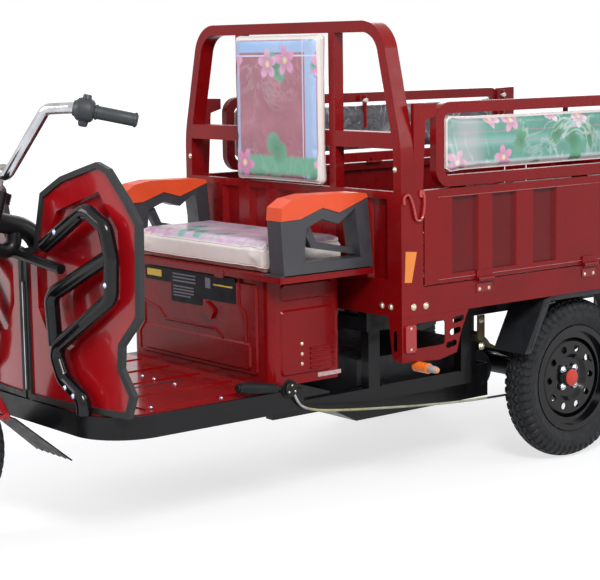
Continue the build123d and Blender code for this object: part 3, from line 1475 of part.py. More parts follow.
# Tailgate: a corrugated board between the rear posts
tail_half = bed_side - post_width - move_gap
tail_recess_share = 0.55
tail_recesses = 5
with BuildPart() as tailgate:
    pitch = 2 * tail_half / tail_recesses
    middles = [-tail_half + (number + 0.5) * pitch for number in range(tail_recesses)]
    recess_half = pitch * tail_recess_share / 2
    spans = [(middle - recess_half, middle + recess_half) for middle in middles]
    with BuildSketch(Plane.XY.offset(gate_bottom + gate_rail)) as wall:
        with BuildLine():
            wall_points = corrugated(-tail_half, spans, tail_half, bed_rear, -recess_depth, sheet)
            Polyline(*wall_points, close=True)
        make_face()
    extrude(wall.sketch, amount=board_top - gate_bottom - 2 * gate_rail)
    for low in (gate_bottom, board_top - gate_rail):
        slab((-tail_half, tail_half), (bed_rear - gate_thick, bed_rear), (low, low + gate_rail))
    for share in gate_hinge_shares:
        middle = -tail_half + share * 2 * tail_half
        rod(
            (middle - hinge_width / 2, bed_rear + gate_pin_reach, gate_pin_z),
            (middle + hinge_width / 2, bed_rear + gate_pin_reach, gate_pin_z), gate_pin_radius,
        )
        slab(
            (middle - hinge_width / 2, middle + hinge_width / 2),
            (bed_rear - sheet, bed_rear + hinge_thick), (gate_pin_z, gate_bottom + gate_rail),
        )
tailgate.part.label = "tailgate"
export_step(tailgate.part, "parts/tailgate.step")

# Seat lid: a red pressed plate, hinged at its front edge, that carries cushion and armrests
lid_overhang = 75.0
lid_rear_gap = 12.0
lid_front_gap = 15.0
lid_half = seat_half + lid_overhang
lid_rear = bed_front - lid_rear_gap
lid_front = seat_front - lid_front_gap
lid_lip = 14.0
lid_base = seat_box_top + fit_gap - lid_lip
with BuildPart() as seat_plate:
    with BuildSketch(Plane.XY.offset(lid_base)):
        with Locations((0, (lid_front + lid_rear) / 2)):
            RectangleRounded(2 * lid_half, lid_rear - lid_front, bar)
    extrude(amount=lid_lip + sheet)
    slab(
        (-lid_half + sheet, lid_half - sheet), (lid_front + sheet, lid_rear - sheet),
        (lid_base - cut, lid_base + lid_lip), mode=Mode.SUBTRACT,
    )
seat_plate.part.label = "seat_plate"
export_step(seat_plate.part, "parts/seat_plate.step")

# Seat cushion, a plain pad with rounded edges
cushion_inset = 87.0
cushion_rear_gap = 18.0
cushion_half = lid_half - cushion_inset
cushion_depth = lid_rear - lid_front - bar - cushion_rear_gap
cushion_height = 88.0
cushion_corner = 40.0
lid_top = lid_base + lid_lip + sheet
with BuildPart() as seat_cushion:
    with BuildSketch(Plane.XY.offset(lid_top + fit_gap)):
        with Locations((0, lid_front + bar + cushion_depth / 2)):
            RectangleRounded(2 * cushion_half, cushion_depth, cushion_corner)
    extrude(amount=cushion_height)
    fillet(seat_cushion.faces().sort_by(Axis.Z)[-1].edges(), radius=cushion_corner / 3)
seat_cushion.part.label = "seat_cushion"
export_step(seat_cushion.part, "parts/seat_cushion.step")

# Armrests: open moulded side frames with an inner brace, and orange caps on top
arm_width = 60.0
arm_half_out = lid_half - sheet
arm_half_in = arm_half_out - arm_width
arm_base = lid_top + fit_gap
arm_height = 214.0
arm_end_gap = 4.0
arm_length = lid_rear - lid_front - 2 * arm_end_gap
arm_start = lid_front + arm_end_gap
# Side outlines: shares of the armrest's length from its front, shares of its height
arm_crown_shares = [(0.0, 0.71), (0.2, 0.72), (0.44, 0.84), (0.62, 0.76), (0.94, 0.93)]
arm_foot_shares = [(0.03, 0), (1, 0)]
arm_window_shares = [(0.24, 0.15), (0.86, 0.15), (0.8, 0.8), (0.62, 0.62), (0.44, 0.7), (0.27, 0.6)]
arm_brace_shares = [
    (0.22, 0.62), (0.36, 0.62), (0.43, 0.4), (0.86, 0.26),
    (0.86, 0.18), (0.38, 0.32), (0.31, 0.52), (0.22, 0.52),
]
arm_cap_shares = [(0.92, 0.98), (0.84, 1.0), (0.3, 1.02), (0.12, 0.98), (0.01, 0.88)]


def arm_points(shares, lift=0):
    """Places on an armrest's side view."""
    return [(arm_start + y * arm_length, arm_base + z * arm_height + lift) for y, z in shares]


with BuildPart() as armrests:
    for side in both_sides:
        with BuildSketch(across(side * arm_half_in)) as frame:
            with BuildLine():
                Polyline(*arm_points(arm_foot_shares + arm_crown_shares[::-1]), close=True)
            make_face()
            with BuildLine():
                Polyline(*arm_points(arm_window_shares), close=True)
            make_face(mode=Mode.SUBTRACT)
        extrude(frame.sketch, amount=side * (arm_half_out - arm_half_in))
        with BuildSketch(across(side * (arm_half_in + bar))) as brace:
            with BuildLine():
                Polyline(*arm_points(arm_brace_shares), close=True)
            make_face()
        extrude(brace.sketch, amount=side * 2 * bar)
armrests.part.label = "armrests"
export_step(armrests.part, "parts/armrests.step")

with BuildPart() as armrest_caps:
    for side in both_sides:
        with BuildSketch(across(side * (arm_half_in - sheet))) as crown:
            with BuildLine():
                Polyline(*arm_points(arm_crown_shares, 2 * fit_gap), *arm_points(arm_cap_shares), close=True)
            make_face()
        extrude(crown.sketch, amount=side * (arm_half_out - arm_half_in + 2 * sheet))
armrest_caps.part.label = "armrest_caps"
export_step(armrest_caps.part, "parts/armrest_caps.step")
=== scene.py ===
import json
import math

import bmesh
import bpy
from mathutils import Matrix, Vector
from mathutils.bvhtree import BVHTree


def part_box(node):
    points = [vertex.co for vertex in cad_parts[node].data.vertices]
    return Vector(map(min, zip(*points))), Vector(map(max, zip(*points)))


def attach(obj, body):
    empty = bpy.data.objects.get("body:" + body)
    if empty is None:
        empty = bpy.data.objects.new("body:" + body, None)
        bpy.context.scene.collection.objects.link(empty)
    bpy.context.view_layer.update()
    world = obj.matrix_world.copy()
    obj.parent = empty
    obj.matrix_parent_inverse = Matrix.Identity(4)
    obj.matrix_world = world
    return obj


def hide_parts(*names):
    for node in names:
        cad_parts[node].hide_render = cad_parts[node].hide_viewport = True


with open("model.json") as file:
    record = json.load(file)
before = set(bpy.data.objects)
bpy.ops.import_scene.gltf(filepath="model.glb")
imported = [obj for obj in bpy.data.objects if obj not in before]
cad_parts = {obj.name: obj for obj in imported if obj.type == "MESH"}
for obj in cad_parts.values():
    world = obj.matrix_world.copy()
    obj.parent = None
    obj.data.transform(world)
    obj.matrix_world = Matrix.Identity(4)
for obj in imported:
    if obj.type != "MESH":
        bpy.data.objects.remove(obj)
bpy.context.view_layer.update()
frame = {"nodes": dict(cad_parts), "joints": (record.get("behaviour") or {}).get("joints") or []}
nodes = frame["nodes"]
joints = {joint["name"]: joint for joint in frame["joints"]}

# Places of the main axes, read from the joints. X is the rider's left, Y rearward, Z up.
rear_axle = Vector(joints["rear_wheel_left_spin"]["pos_m"])
far_rear_axle = Vector((-rear_axle.x, rear_axle.y, rear_axle.z))
front_axle = Vector(joints["front_wheel_spin"]["pos_m"])
steer_foot = Vector(joints["steer"]["pos_m"])
steer_axis = Vector(joints["steer"]["axis"]).normalized()
right, ahead, upward = Vector((1, 0, 0)), Vector((0, -1, 0)), Vector((0, 0, 1))
# Side, word and outward direction
both_sides = ((1, "left", right), (-1, "right", -right))
full_turn = 2 * math.pi


def at(x, y, z):
    """A point in metres from millimetres, with Y counted rearward from the rear axle."""
    return Vector((x / 1000, rear_axle.y + y / 1000, z / 1000))


def show(name, data):
    """A new object in the scene."""
    thing = bpy.data.objects.new(name, data)
    bpy.context.scene.collection.objects.link(thing)
    return thing


# Camera, fitted to the photograph
camera_place = at(3926.7, -3883.5, 1278.8)
camera_yaw = math.radians(51.08)
camera_pitch = math.radians(8.21)
camera_roll = math.radians(-0.87)
forward = Vector((
    -math.sin(camera_yaw) * math.cos(camera_pitch),
    math.cos(camera_yaw) * math.cos(camera_pitch),
    -math.sin(camera_pitch),
))
level_right = forward.cross(upward).normalized()
level_up = level_right.cross(forward)
view_right = math.cos(camera_roll) * level_right + math.sin(camera_roll) * level_up
view_up = -math.sin(camera_roll) * level_right + math.cos(camera_roll) * level_up
camera_data = bpy.data.cameras.new("camera")
camera_data.lens = 100.55
camera_data.sensor_width = 36.0
camera = show("camera", camera_data)
camera_turn = Matrix((view_right, view_up, -forward)).transposed()
camera.matrix_world = Matrix.Translation(camera_place) @ camera_turn.to_4x4()
bpy.context.scene.camera = camera
bpy.context.scene.view_settings.view_transform = "Standard"


# Material helpers

class Value:
    """What a node gives out. Arithmetic on it adds math nodes."""

    def __init__(self, socket):
        self.socket = socket

    def calc(self, operation, first, second=0.0):
        return add(self.socket.id_data, "Math", {0: first, 1: second}, operation=operation)

    def __add__(self, other):
        return self.calc("ADD", self, other)

    def __sub__(self, other):
        return self.calc("SUBTRACT", self, other)

    def __rsub__(self, other):
        return self.calc("SUBTRACT", other, self)

    def __mul__(self, other):
        return self.calc("MULTIPLY", self, other)

    def __truediv__(self, other):
        return self.calc("DIVIDE", self, other)

    def __abs__(self):
        return self.calc("ABSOLUTE", self)

    def clamped(self):
        """The same, kept between 0 and 1."""
        self.socket.node.use_clamp = True
        return self


def feed(node, inputs):
    """Sets inputs by name or number: what a node gives out is linked, and a colour gets its alpha."""
    for key, value in inputs.items():
        socket = node.inputs[key]
        if isinstance(value, Value):
            node.id_data.links.new(value.socket, socket)
        elif socket.type == "RGBA":
            socket.default_value = (*value, 1)
        else:
            socket.default_value = value


def add(tree, kind, inputs, output=0, **settings):
    """A new node with its settings and inputs. Gives back one of its outputs."""
    node = tree.nodes.new("ShaderNode" + kind)
    for key, setting in settings.items():
        setattr(node, key, setting)
    feed(node, inputs)
    return Value(node.outputs[output])


paints = {}


def start_material(name):
    """A new material, kept by its name. Gives back its node tree and its shader."""
    paints[name] = bpy.data.materials.new(name)
    paints[name].use_nodes = True
    tree = paints[name].node_tree
    return tree, tree.nodes["Principled BSDF"]


def coordinates(tree):
    """Object coordinates, which are the frame's own."""
    return add(tree, "TexCoord", {}, "Object")


def parts(tree, vector):
    """The X, Y and Z of a vector."""
    node = add(tree, "SeparateXYZ", {0: vector}).socket.node
    return [Value(output) for output in node.outputs]


def length(tree, vector):
    """The length of a vector."""
    return add(tree, "VectorMath", {0: vector}, "Value", operation="LENGTH")


def noise(tree, scale, detail=3.0, roughness=0.5, distortion=0.0):
    """A noise value between 0 and 1."""
    return add(tree, "TexNoise", {"Vector": coordinates(tree), "Scale": scale, "Detail": detail,
                                  "Roughness": roughness, "Distortion": distortion}, "Fac")


def remap(tree, value, low, high, from_low=0.3, from_high=0.7):
    """A value moved into another range."""
    return add(tree, "MapRange", {"Value": value, "From Min": from_low, "From Max": from_high,
                                  "To Min": low, "To Max": high}, "Result")


def blend(tree, factor, first, second):
    """A mix of two colours."""
    return add(tree, "Mix", {0: factor, 6: first, 7: second}, 2, data_type="RGBA")


def bump(tree, height, strength, distance):
    """A normal bumped by a height."""
    return add(tree, "Bump", {"Height": height, "Strength": strength, "Distance": distance}, "Normal")


def darker(colour, share):
    """A colour at a share of its strength."""
    return tuple(min(1.0, part * share) for part in colour)


def mottled(tree, colour, spread, scale):
    """A colour in darker and lighter patches."""
    patches = remap(tree, noise(tree, scale, 4.0), 0, 1)
    return blend(tree, patches, darker(colour, 1 - spread), darker(colour, 1 + spread))


gloss_patches = 7
grain_strength = 0.35
coat_roughness = 0.06


def finish(tree, shader, patch, gloss, grain, depth, coat, specular):
    """Varied gloss, a fine grain and a clear coat."""
    feed(shader, {
        "Roughness": remap(tree, noise(tree, patch * gloss_patches, 5.0), *gloss),
        "Normal": bump(tree, noise(tree, grain, 2.0), grain_strength, depth),
        "Coat Weight": coat, "Coat Roughness": coat_roughness, "Specular IOR Level": specular,
    })


def surface(name, colour, roughness, metallic, coat, spread, patch, grain, depth, specular):
    """Paint, plastic or metal: patches of tone, varied gloss and a fine grain."""
    tree, shader = start_material(name)
    feed(shader, {"Base Color": mottled(tree, colour, spread, patch), "Metallic": metallic})
    finish(tree, shader, patch, (roughness * 0.8, roughness * 1.25), grain, depth, coat, specular)


# name, colour, roughness, metal, coat, spread of tone, patch scale, grain scale, grain depth, specular
surfaces = (
    ("red_paint", (0.205, 0.0025, 0.004), 0.3, 0, 0.12, 0.14, 5, 160, 0.0002, 0.15),
    ("red_moulding", (0.25, 0.0025, 0.004), 0.2, 0, 0.3, 0.08, 5, 70, 0.0003, 0.2),
    ("shield_red", (0.36, 0.004, 0.008), 0.2, 0, 0.6, 0.08, 5, 70, 0.0003, 0.25),
    ("black_paint", (0.005, 0.005, 0.006), 0.36, 0, 0.1, 0.3, 5, 200, 0.0004, 0.2),
    ("black_gloss", (0.003, 0.003, 0.004), 0.18, 0, 0.25, 0.2, 5, 90, 0.0002, 0.2),
    ("black_plastic", (0.014, 0.015, 0.018), 0.5, 0, 0, 0.2, 5, 900, 0.0003, 0.35),
    ("arm_plastic", (0.036, 0.036, 0.042), 0.42, 0, 0, 0.15, 5, 900, 0.0003, 0.5),
    ("orange_plastic", (0.72, 0.075, 0.018), 0.42, 0, 0, 0.08, 5, 900, 0.0003, 0.5),
    ("orange_light", (0.8, 0.24, 0.035), 0.38, 0, 0, 0.08, 5, 900, 0.0003, 0.5),
    ("amber_plastic", (0.9, 0.2, 0.02), 0.28, 0, 0.4, 0.06, 5, 500, 0.0004, 0.5),
    ("grey_trim", (0.02, 0.021, 0.022), 0.5, 0, 0, 0.15, 5, 700, 0.0004, 0.35),
    ("chrome", (0.5, 0.5, 0.53), 0.17, 1, 0, 0.3, 14, 120, 0.0003, 0.5),
    ("bare_steel", (0.42, 0.41, 0.38), 0.34, 1, 0, 0.2, 5, 400, 0.0004, 0.5),
    ("pale_zinc", (0.62, 0.57, 0.44), 0.3, 0.9, 0, 0.2, 80, 400, 0.0004, 0.5),
    ("blue_zinc", (0.58, 0.64, 0.88), 0.24, 1, 0, 0.2, 60, 300, 0.0004, 0.5),
    ("cast_grey", (0.035, 0.04, 0.045), 0.5, 0.5, 0, 0.25, 20, 350, 0.0008, 0.5),
    ("tyre_rubber", (0.011, 0.0115, 0.013), 0.6, 0, 0, 0.3, 9, 600, 0.0006, 0.3),
    ("rubber", (0.009, 0.009, 0.01), 0.5, 0, 0, 0.2, 5, 800, 0.0004, 0.2),
    ("grip_rubber", (0.018, 0.022, 0.026), 0.5, 0, 0, 0.15, 5, 900, 0.0004, 0.5),
    ("red_hook", (0.42, 0.03, 0.02), 0.25, 0, 0.5, 0.1, 60, 300, 0.0004, 0.5),
    ("red_cap", (0.62, 0.035, 0.02), 0.4, 0, 0, 0.08, 5, 500, 0.0004, 0.5),
    ("red_reflector", (0.36, 0.004, 0.004), 0.18, 0, 0.3, 0.06, 5, 500, 0.0004, 0.5),
    ("grey_tip", (0.4, 0.38, 0.36), 0.45, 0, 0, 0.1, 5, 500, 0.0004, 0.5),
    ("sticker_dark", (0.006, 0.006, 0.01), 0.4, 0, 0, 0.1, 5, 250, 0.0004, 0.1),
    ("sticker_yellow", (0.7, 0.5, 0.02), 0.4, 0, 0, 0.05, 5, 250, 0.0004, 0.5),
    ("sticker_grey", (0.13, 0.13, 0.16), 0.4, 0, 0, 0.15, 200, 250, 0.0004, 0.5),
    ("pale_strip", (0.5, 0.36, 0.34), 0.35, 0, 0, 0.15, 90, 250, 0.0004, 0.5),
    ("white_cap", (0.7, 0.68, 0.66), 0.4, 0, 0, 0.08, 90, 250, 0.0004, 0.5),
    ("mat_line", (0.01, 0.01, 0.012), 0.6, 0, 0, 0.2, 5, 700, 0.0004, 0.5),
)
for row in surfaces:
    surface(*row)


# How far back a sheet counts as pressed, in metres, and how sharply, per metre, tones change at edges
press_start = 0.001
press_edge = 350.0
band_edge = 400.0
print_edge = 600.0


def recess_shaded_paint(name, face_x, colour, shade_share):
    """Red paint with painted shade: it deepens where the sheet is pressed back from its outer face."""
    tree, shader = start_material(name)
    back = face_x - abs(parts(tree, coordinates(tree))[0])
    pressed = ((back - press_start) * press_edge).clamped()
    tone = remap(tree, noise(tree, 5.0, 4.0), 0.86, 1.14)
    feed(shader, {"Base Color": blend(tree, tone * (1.0 - pressed * shade_share), (0.0, 0.0, 0.0), colour)})
    finish(tree, shader, 5.0, (0.24, 0.38), 160.0, 0.0002, 0.12, 0.15)


def banded(name, axis, edges, colours, roughness, metallic=0.0, coat=0.0, mirrored=False, grain=300):
    """Bands of colour along one axis of the frame: edges, in metres, part the colours."""
    tree, shader = start_material(name)
    value = parts(tree, coordinates(tree))["XYZ".index(axis)]
    if mirrored:
        value = abs(value)
    colour = colours[0]
    for edge, following in zip(edges, colours[1:]):
        colour = blend(tree, ((value - edge) * band_edge).clamped(), colour, following)
    mottle = remap(tree, noise(tree, 35.0, 4.0), 0.0, 0.45)
    feed(shader, {
        "Base Color": blend(tree, mottle, colour, (0.01, 0.01, 0.01)),
        "Normal": bump(tree, noise(tree, grain, 2.0), 0.3, 0.0004),
        "Roughness": roughness, "Metallic": metallic, "Coat Weight": coat,
    })


# The side gates get painted shade in their recesses: the red is 40 per cent darker there.
recess_shaded_paint("gate_paint", 0.513, (0.215, 0.0027, 0.0042), 0.4)
banded("spring_paint", "Z", (0.352,), ((0.008, 0.008, 0.009), (0.20, 0.165, 0.075)), 0.42, 0.3)
banded(
    "cable_sleeve", "Y", (-0.31, -0.08, 0.42),
    ((0.55, 0.55, 0.52), (0.50, 0.47, 0.22), (0.50, 0.50, 0.34), (0.05, 0.055, 0.05)), 0.4)
banded(
    "tail_lens", "X", (0.307, 0.345), ((0.55, 0.008, 0.006), (0.72, 0.70, 0.68), (0.80, 0.22, 0.02)), 0.14,
    coat=0.8, mirrored=True, grain=120)

# Clear moulded glass with vertical flutes
tree, shader = start_material("clear_lens")
flutes = add(tree, "TexWave", {"Vector": coordinates(tree), "Scale": 60}, "Fac")
feed(shader, {"Normal": bump(tree, flutes, 0.3, 0.002), "Base Color": (0.95, 0.97, 1.0), "Roughness": 0.03,
              "Transmission Weight": 1.0, "IOR": 1.45})


# Cushion materials: printed cloth under crinkled clear plastic, with painted highlight streaks

def wrapped_cloth(tree, shader, colour, roughness, crinkle, depth, weight):
    """Woven cloth under a loose clear wrap, which is a coat with its own creases."""
    ridge = abs(noise(tree, crinkle, 5.0, 0.62, 1.6) - 0.5)
    sharp = ridge.calc("POWER", (ridge * 5.0).clamped(), 0.6)
    feed(shader, {
        "Base Color": colour, "Roughness": roughness,
        "Normal": bump(tree, noise(tree, 900.0, 1.0), 0.5, 0.0002),
        "Coat Normal": bump(tree, sharp, 0.8, depth), "Coat Weight": weight, "Coat Roughness": 0.08,
    })


def glints(tree, colour, amount, scale=7.0, width=16.0):
    """Painted highlights: pale streaks where the wrap folds."""
    ridge = abs(noise(tree, scale, 3.0, distortion=2.4) - 0.5)
    line = (1.0 - ridge * width).clamped()
    patch = remap(tree, noise(tree, scale * 0.8, 2.0), 0.0, amount, 0.42, 0.6)
    return blend(tree, line * patch, colour, (0.84, 0.85, 0.87))


def cloth_material(name, colour, crinkle, depth, weight, glint_amount):
    """Plain cushion cloth under the wrap, with painted highlight streaks."""
    tree, shader = start_material(name)
    base = glints(tree, mottled(tree, colour, 0.07, 6.0), glint_amount)
    wrapped_cloth(tree, shader, base, 0.7, crinkle, depth, weight)


# Shares of a flower's size, and how the leaves differ from the flowers
heart_share = 0.28
soft_share = 0.18
flower_petals = 5
leaf_petals = 2
leaf_shift = 0.37
leaf_scale = 1.3
leaf_size = 1.15


def flower_masks(tree, place, scale, size, petals, share):
    """Scattered flowers: petals, heart, distance from the heart and a random tone for each.
    share is how many of the cells hold one."""
    cells = add(tree, "TexVoronoi", {"Vector": place, "Scale": scale, "Randomness": 0.85},
                voronoi_dimensions="2D").socket.node
    random = Value(cells.outputs["Color"])
    offset = add(tree, "VectorMath", {0: place, 1: Value(cells.outputs["Position"])}, operation="SUBTRACT")
    across, up, _ = parts(tree, offset)
    turned = across.calc("ARCTAN2", up, across) + random * 6.0
    wave = abs(turned.calc("COSINE", turned * (petals / 2)))
    edge = (wave * 0.5 + 0.5) * size
    radius = length(tree, offset)
    soft = size * soft_share
    pick = add(tree, "SeparateColor", {"Color": random}).socket.node
    kept = radius.calc("LESS_THAN", Value(pick.outputs["Green"]), share)
    petal = ((edge - radius) / soft).clamped() * kept
    heart = ((size * heart_share - radius) / soft).clamped() * kept
    return petal, heart, (radius / size).clamped(), Value(pick.outputs["Red"])


def print_material(name, axes, face, border, corner, field, bands, petal_colours, leaf_colours,
                   flower_scale, flower_size, flower_share, leaf_share, glint):
    """A printed cushion face inside a plain border. axes has the letters across, up and through the face,
    face is (low across, high across, low up, high up, plane through, side)."""
    tree, shader = start_material(name)
    split = parts(tree, coordinates(tree))
    across, up, through = (split["XYZ".index(axis)] for axis in axes)
    low_across, high_across, low_up, high_up, plane, side = face
    flat = add(tree, "CombineXYZ", {"X": across, "Y": up})
    ranges = {"across": (across, low_across, high_across), "up": (up, low_up, high_up)}
    past = []
    for value, low, high in ranges.values():
        half = (high - low) / 2 - border - corner
        past.append(value.calc("MAXIMUM", abs(value - (low + high) / 2) - half, 0.0))
    reach = length(tree, add(tree, "CombineXYZ", {"X": past[0], "Y": past[1]}))
    facing = ((through - plane) * side * print_edge).clamped()
    printed = ((corner - reach) * print_edge).clamped() * facing
    colour = blend(tree, remap(tree, noise(tree, 14.0, 5.0), 0, 1), field, darker(field, 0.72))
    for way, start, end, tint, soft in bands:
        value, low, high = ranges[way]
        enter = ((value - (low + start * (high - low))) / soft).clamped()
        leave = ((low + end * (high - low) - value) / soft).clamped()
        colour = blend(tree, enter * leave, colour, tint)
    leaf_sizes = flower_scale * leaf_scale, flower_size * leaf_size
    for shift, tints, petals, (scale, size), share in (
        (leaf_shift, leaf_colours, leaf_petals, leaf_sizes, leaf_share),
        (0.0, petal_colours, flower_petals, (flower_scale, flower_size), flower_share),
    ):
        place = add(tree, "VectorMath", {0: flat, 1: (shift, shift / 2, 0)}, operation="ADD")
        petal, heart, tone, pick = flower_masks(tree, place, scale, size, petals, share)
        tint = blend(tree, tone, darker(tints[0], 0.6), blend(tree, pick, tints[0], tints[1]))
        colour = blend(tree, petal, colour, tint)
        if tints is petal_colours:
            colour = blend(tree, heart, colour, tints[2])
    # Painted highlights: pale streaks over the print where the wrap folds
    base = glints(tree, blend(tree, printed, cream, colour), glint, 5.0, 20.0)
    wrapped_cloth(tree, shader, base, 0.6, 11.0, 0.0016, 0.7)


cream = (0.74, 0.68, 0.64)
cloth_material("cream_cloth", cream, 9.0, 0.0022, 0.6, 0.2)
cloth_material("dark_cloth", (0.035, 0.038, 0.05), 13.0, 0.006, 1.0, 0.75)


# Mesh helpers

def circle(bm, centre, across, up, count):
    """Vertices round a centre. across and up are two radii at right angles."""
    angles = [full_turn * step / count for step in range(count)]
    return [bm.verts.new(centre + across * math.cos(angle) + up * math.sin(angle)) for angle in angles]


def skin(bm, loops, material=0, ring=False):
    """Faces from loop to loop, with the ends capped, or joined into a ring."""
    faces = []
    for low, high in zip(loops, loops[1:] + loops[:1] if ring else loops[1:]):
        for step in range(len(low)):
            following = (step + 1) % len(low)
            faces.append(bm.faces.new((low[step], low[following], high[following], high[step])))
    if not ring:
        faces += [bm.faces.new(loops[0][::-1]), bm.faces.new(loops[-1])]
    for face in faces:
        face.material_index = material


def lathe(bm, origin, axis, rings, segments=24, material=0, ring=False):
    """A turned solid, or with ring a closed ring. rings are (distance along the axis, radius)."""
    across, up, out = Vector(axis).normalized().to_track_quat("Z", "Y").to_matrix().col
    loops = [circle(bm, Vector(origin) + out * along, across * radius, up * radius, segments)
             for along, radius in rings]
    skin(bm, loops, material, ring)


def bolt(bm, place, axis, radius, hex_head=True, material=0):
    """A washer with a hexagon or domed head on it."""
    def turned_part(origin, segments, *rings):
        sizes = [(along * radius, reach * radius) for along, reach in rings]
        lathe(bm, origin, axis, sizes, segments, material)

    turned_part(place, 20, (0, 1.5), (0.16, 1.5), (0.24, 1.4))
    seat = Vector(place) + Vector(axis).normalized() * radius * 0.2
    if hex_head:
        turned_part(seat, 6, (0, 1), (0.62, 1), (0.78, 0.82))
        turned_part(seat, 12, (0.5, 0.5), (1, 0.48), (1.06, 0.4))
    else:
        dome = (0, 0.35, 0.7, 1.05, 1.4)
        turned_part(seat, 20, *((0.75 * math.sin(angle), 1.15 * math.cos(angle)) for angle in dome))


def smooth_points(points, steps):
    """Points on a smooth curve through the given ones."""
    line = [Vector(point) for point in points]
    padded = [2 * line[0] - line[1]] + line + [2 * line[-1] - line[-2]]
    result = []
    for index in range(1, len(padded) - 2):
        p0, p1, p2, p3 = padded[index - 1:index + 3]
        for step in range(steps):
            t = step / steps
            result.append(0.5 * (
                2 * p1 + (p2 - p0) * t + (2 * p0 - 5 * p1 + 4 * p2 - p3) * t * t
                + (3 * p1 - p0 - 3 * p2 + p3) * t * t * t))
    return result + line[-1:]


def tube(bm, points, radius, segments=12, material=0, steps=0):
    """A tube through points, on a smooth curve where steps are given between them.
    radius is one number or one for each point."""
    line = smooth_points(points, steps) if steps else [Vector(point) for point in points]
    normal = (line[1] - line[0]).normalized().orthogonal().normalized()
    loops = []
    for index, place in enumerate(line):
        heading = (line[min(index + 1, len(line) - 1)] - line[max(index - 1, 0)]).normalized()
        normal = (normal - heading * normal.dot(heading)).normalized()
        width = radius
        if isinstance(radius, list):
            width = radius[min(len(radius) - 1, round(index / max(steps, 1)))]
        loops.append(circle(bm, place, normal * width, heading.cross(normal) * width, segments))
    skin(bm, loops, material)


def plate(bm, outline, direction, depth, material=0):
    """A sheet cut to an outline of points and pushed out along a direction."""
    push = Vector(direction).normalized() * depth
    loops = [[bm.verts.new(Vector(point) + shift) for point in outline] for shift in (Vector(), push)]
    skin(bm, loops, material)


def sheet_on(bm, centre, across, up, width, height, depth, material=0, corner=0.0):
    """A thin flat piece on a surface, with its corners cut."""
    across, up = Vector(across).normalized(), Vector(up).normalized()
    half_w, half_h = width / 2, height / 2
    outline = [
        (half_w, half_h - corner), (half_w - corner, half_h), (corner - half_w, half_h),
        (-half_w, half_h - corner), (-half_w, corner - half_h), (corner - half_w, -half_h),
        (half_w - corner, -half_h), (half_w, corner - half_h),
    ] if corner else [(half_w, half_h), (-half_w, half_h), (-half_w, -half_h), (half_w, -half_h)]
    plate(bm, [Vector(centre) + across * a + up * b for a, b in outline], across.cross(up), depth, material)


def make(name, bm, materials, body="chassis", sharp=35.0, bevel=0.0):
    """Turns a bmesh into a piece that rides on a body."""
    bmesh.ops.recalc_face_normals(bm, faces=bm.faces)
    if bevel:
        edges = [edge for edge in bm.edges if edge.calc_face_angle(0) > math.radians(50)]
        bmesh.ops.bevel(bm, geom=edges, offset=bevel, segments=2, affect="EDGES", clamp_overlap=True)
    for face in bm.faces:
        face.smooth = True
    for edge in bm.edges:
        edge.smooth = not (edge.is_manifold and edge.calc_face_angle(0) > math.radians(sharp))
    mesh = bpy.data.meshes.new(name)
    bm.to_mesh(mesh)
    bm.free()
    for material in (materials if isinstance(materials, list) else [materials]):
        mesh.materials.append(paints[material])
    piece = show(name, mesh)
    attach(piece, body)
    return piece


# CAD nodes that stay, by material
node_materials = (
    ("black_paint", "main_frame floor_frame battery_tray fork"),
    ("red_paint", "seat_box bed_frame bed_floor front_board hoop corner_skirts tailgate seat_plate "
                "bench_frame_left bench_frame_right"),
    ("red_moulding", "floor_panel"),
    ("shield_red", "leg_shields front_fender"),
    ("gate_paint", "side_gate_left side_gate_right"),
    ("black_gloss", "guard_tubes front_rim rear_rim_left rear_rim_right"),
    ("black_plastic", "battery_pack mudguards headlamp"),
    ("cast_grey", "rear_axle rear_hub_left rear_hub_right"),
    ("rubber", "parking_lever mud_flap"),
    ("grey_trim", "shield_trims"),
    ("amber_plastic", "marker_lamps"),
    ("spring_paint", "leaf_springs"),
    ("tail_lens", "tail_lamps"),
    ("chrome", "handlebar"),
    ("bare_steel", "bar_clamps"),
    ("grip_rubber", "grips"),
    ("clear_lens", "headlamp_lens"),
    ("arm_plastic", "armrests"),
    ("orange_plastic", "armrest_caps"),
)
for material, node_names in node_materials:
    for node_name in node_names.split():
        nodes[node_name].data.materials.clear()
        nodes[node_name].data.materials.append(paints[material])


# Tyres: moulded blocks on the crown, lugs on the shoulders, rings on the side walls
tyre_sizes = (
    ("front_tyre", "front_wheel", front_axle, 0.240, 54),
    ("rear_tyre_left", "rear_wheel_left", rear_axle, 0.249, 56),
    ("rear_tyre_right", "rear_wheel_right", far_rear_axle, 0.249, 56),
)
bead_half = 0.0317
bead_radius = 0.1655
bulge_half = 0.0478
tread_half = 0.038
shoulder_drop = 0.013
groove = 0.0065
wall_steps = 26
crown_steps = 44
block_steps = 6
lug_steps = 9
wall_rings = {14: 0.0012, 15: 0.0012, 22: 0.0008, 24: 0.0008}
# Zones of the tread by their distance from its middle, and the share of each block that is cut away
lug_from, lug_gap = 0.0265, 0.34
ring_groove_from = 0.0235
rib_from, rib_gap = 0.0095, 0.22
zigzag_swing, zigzag_from, zigzag_to = 0.0035, 0.0055, 0.009


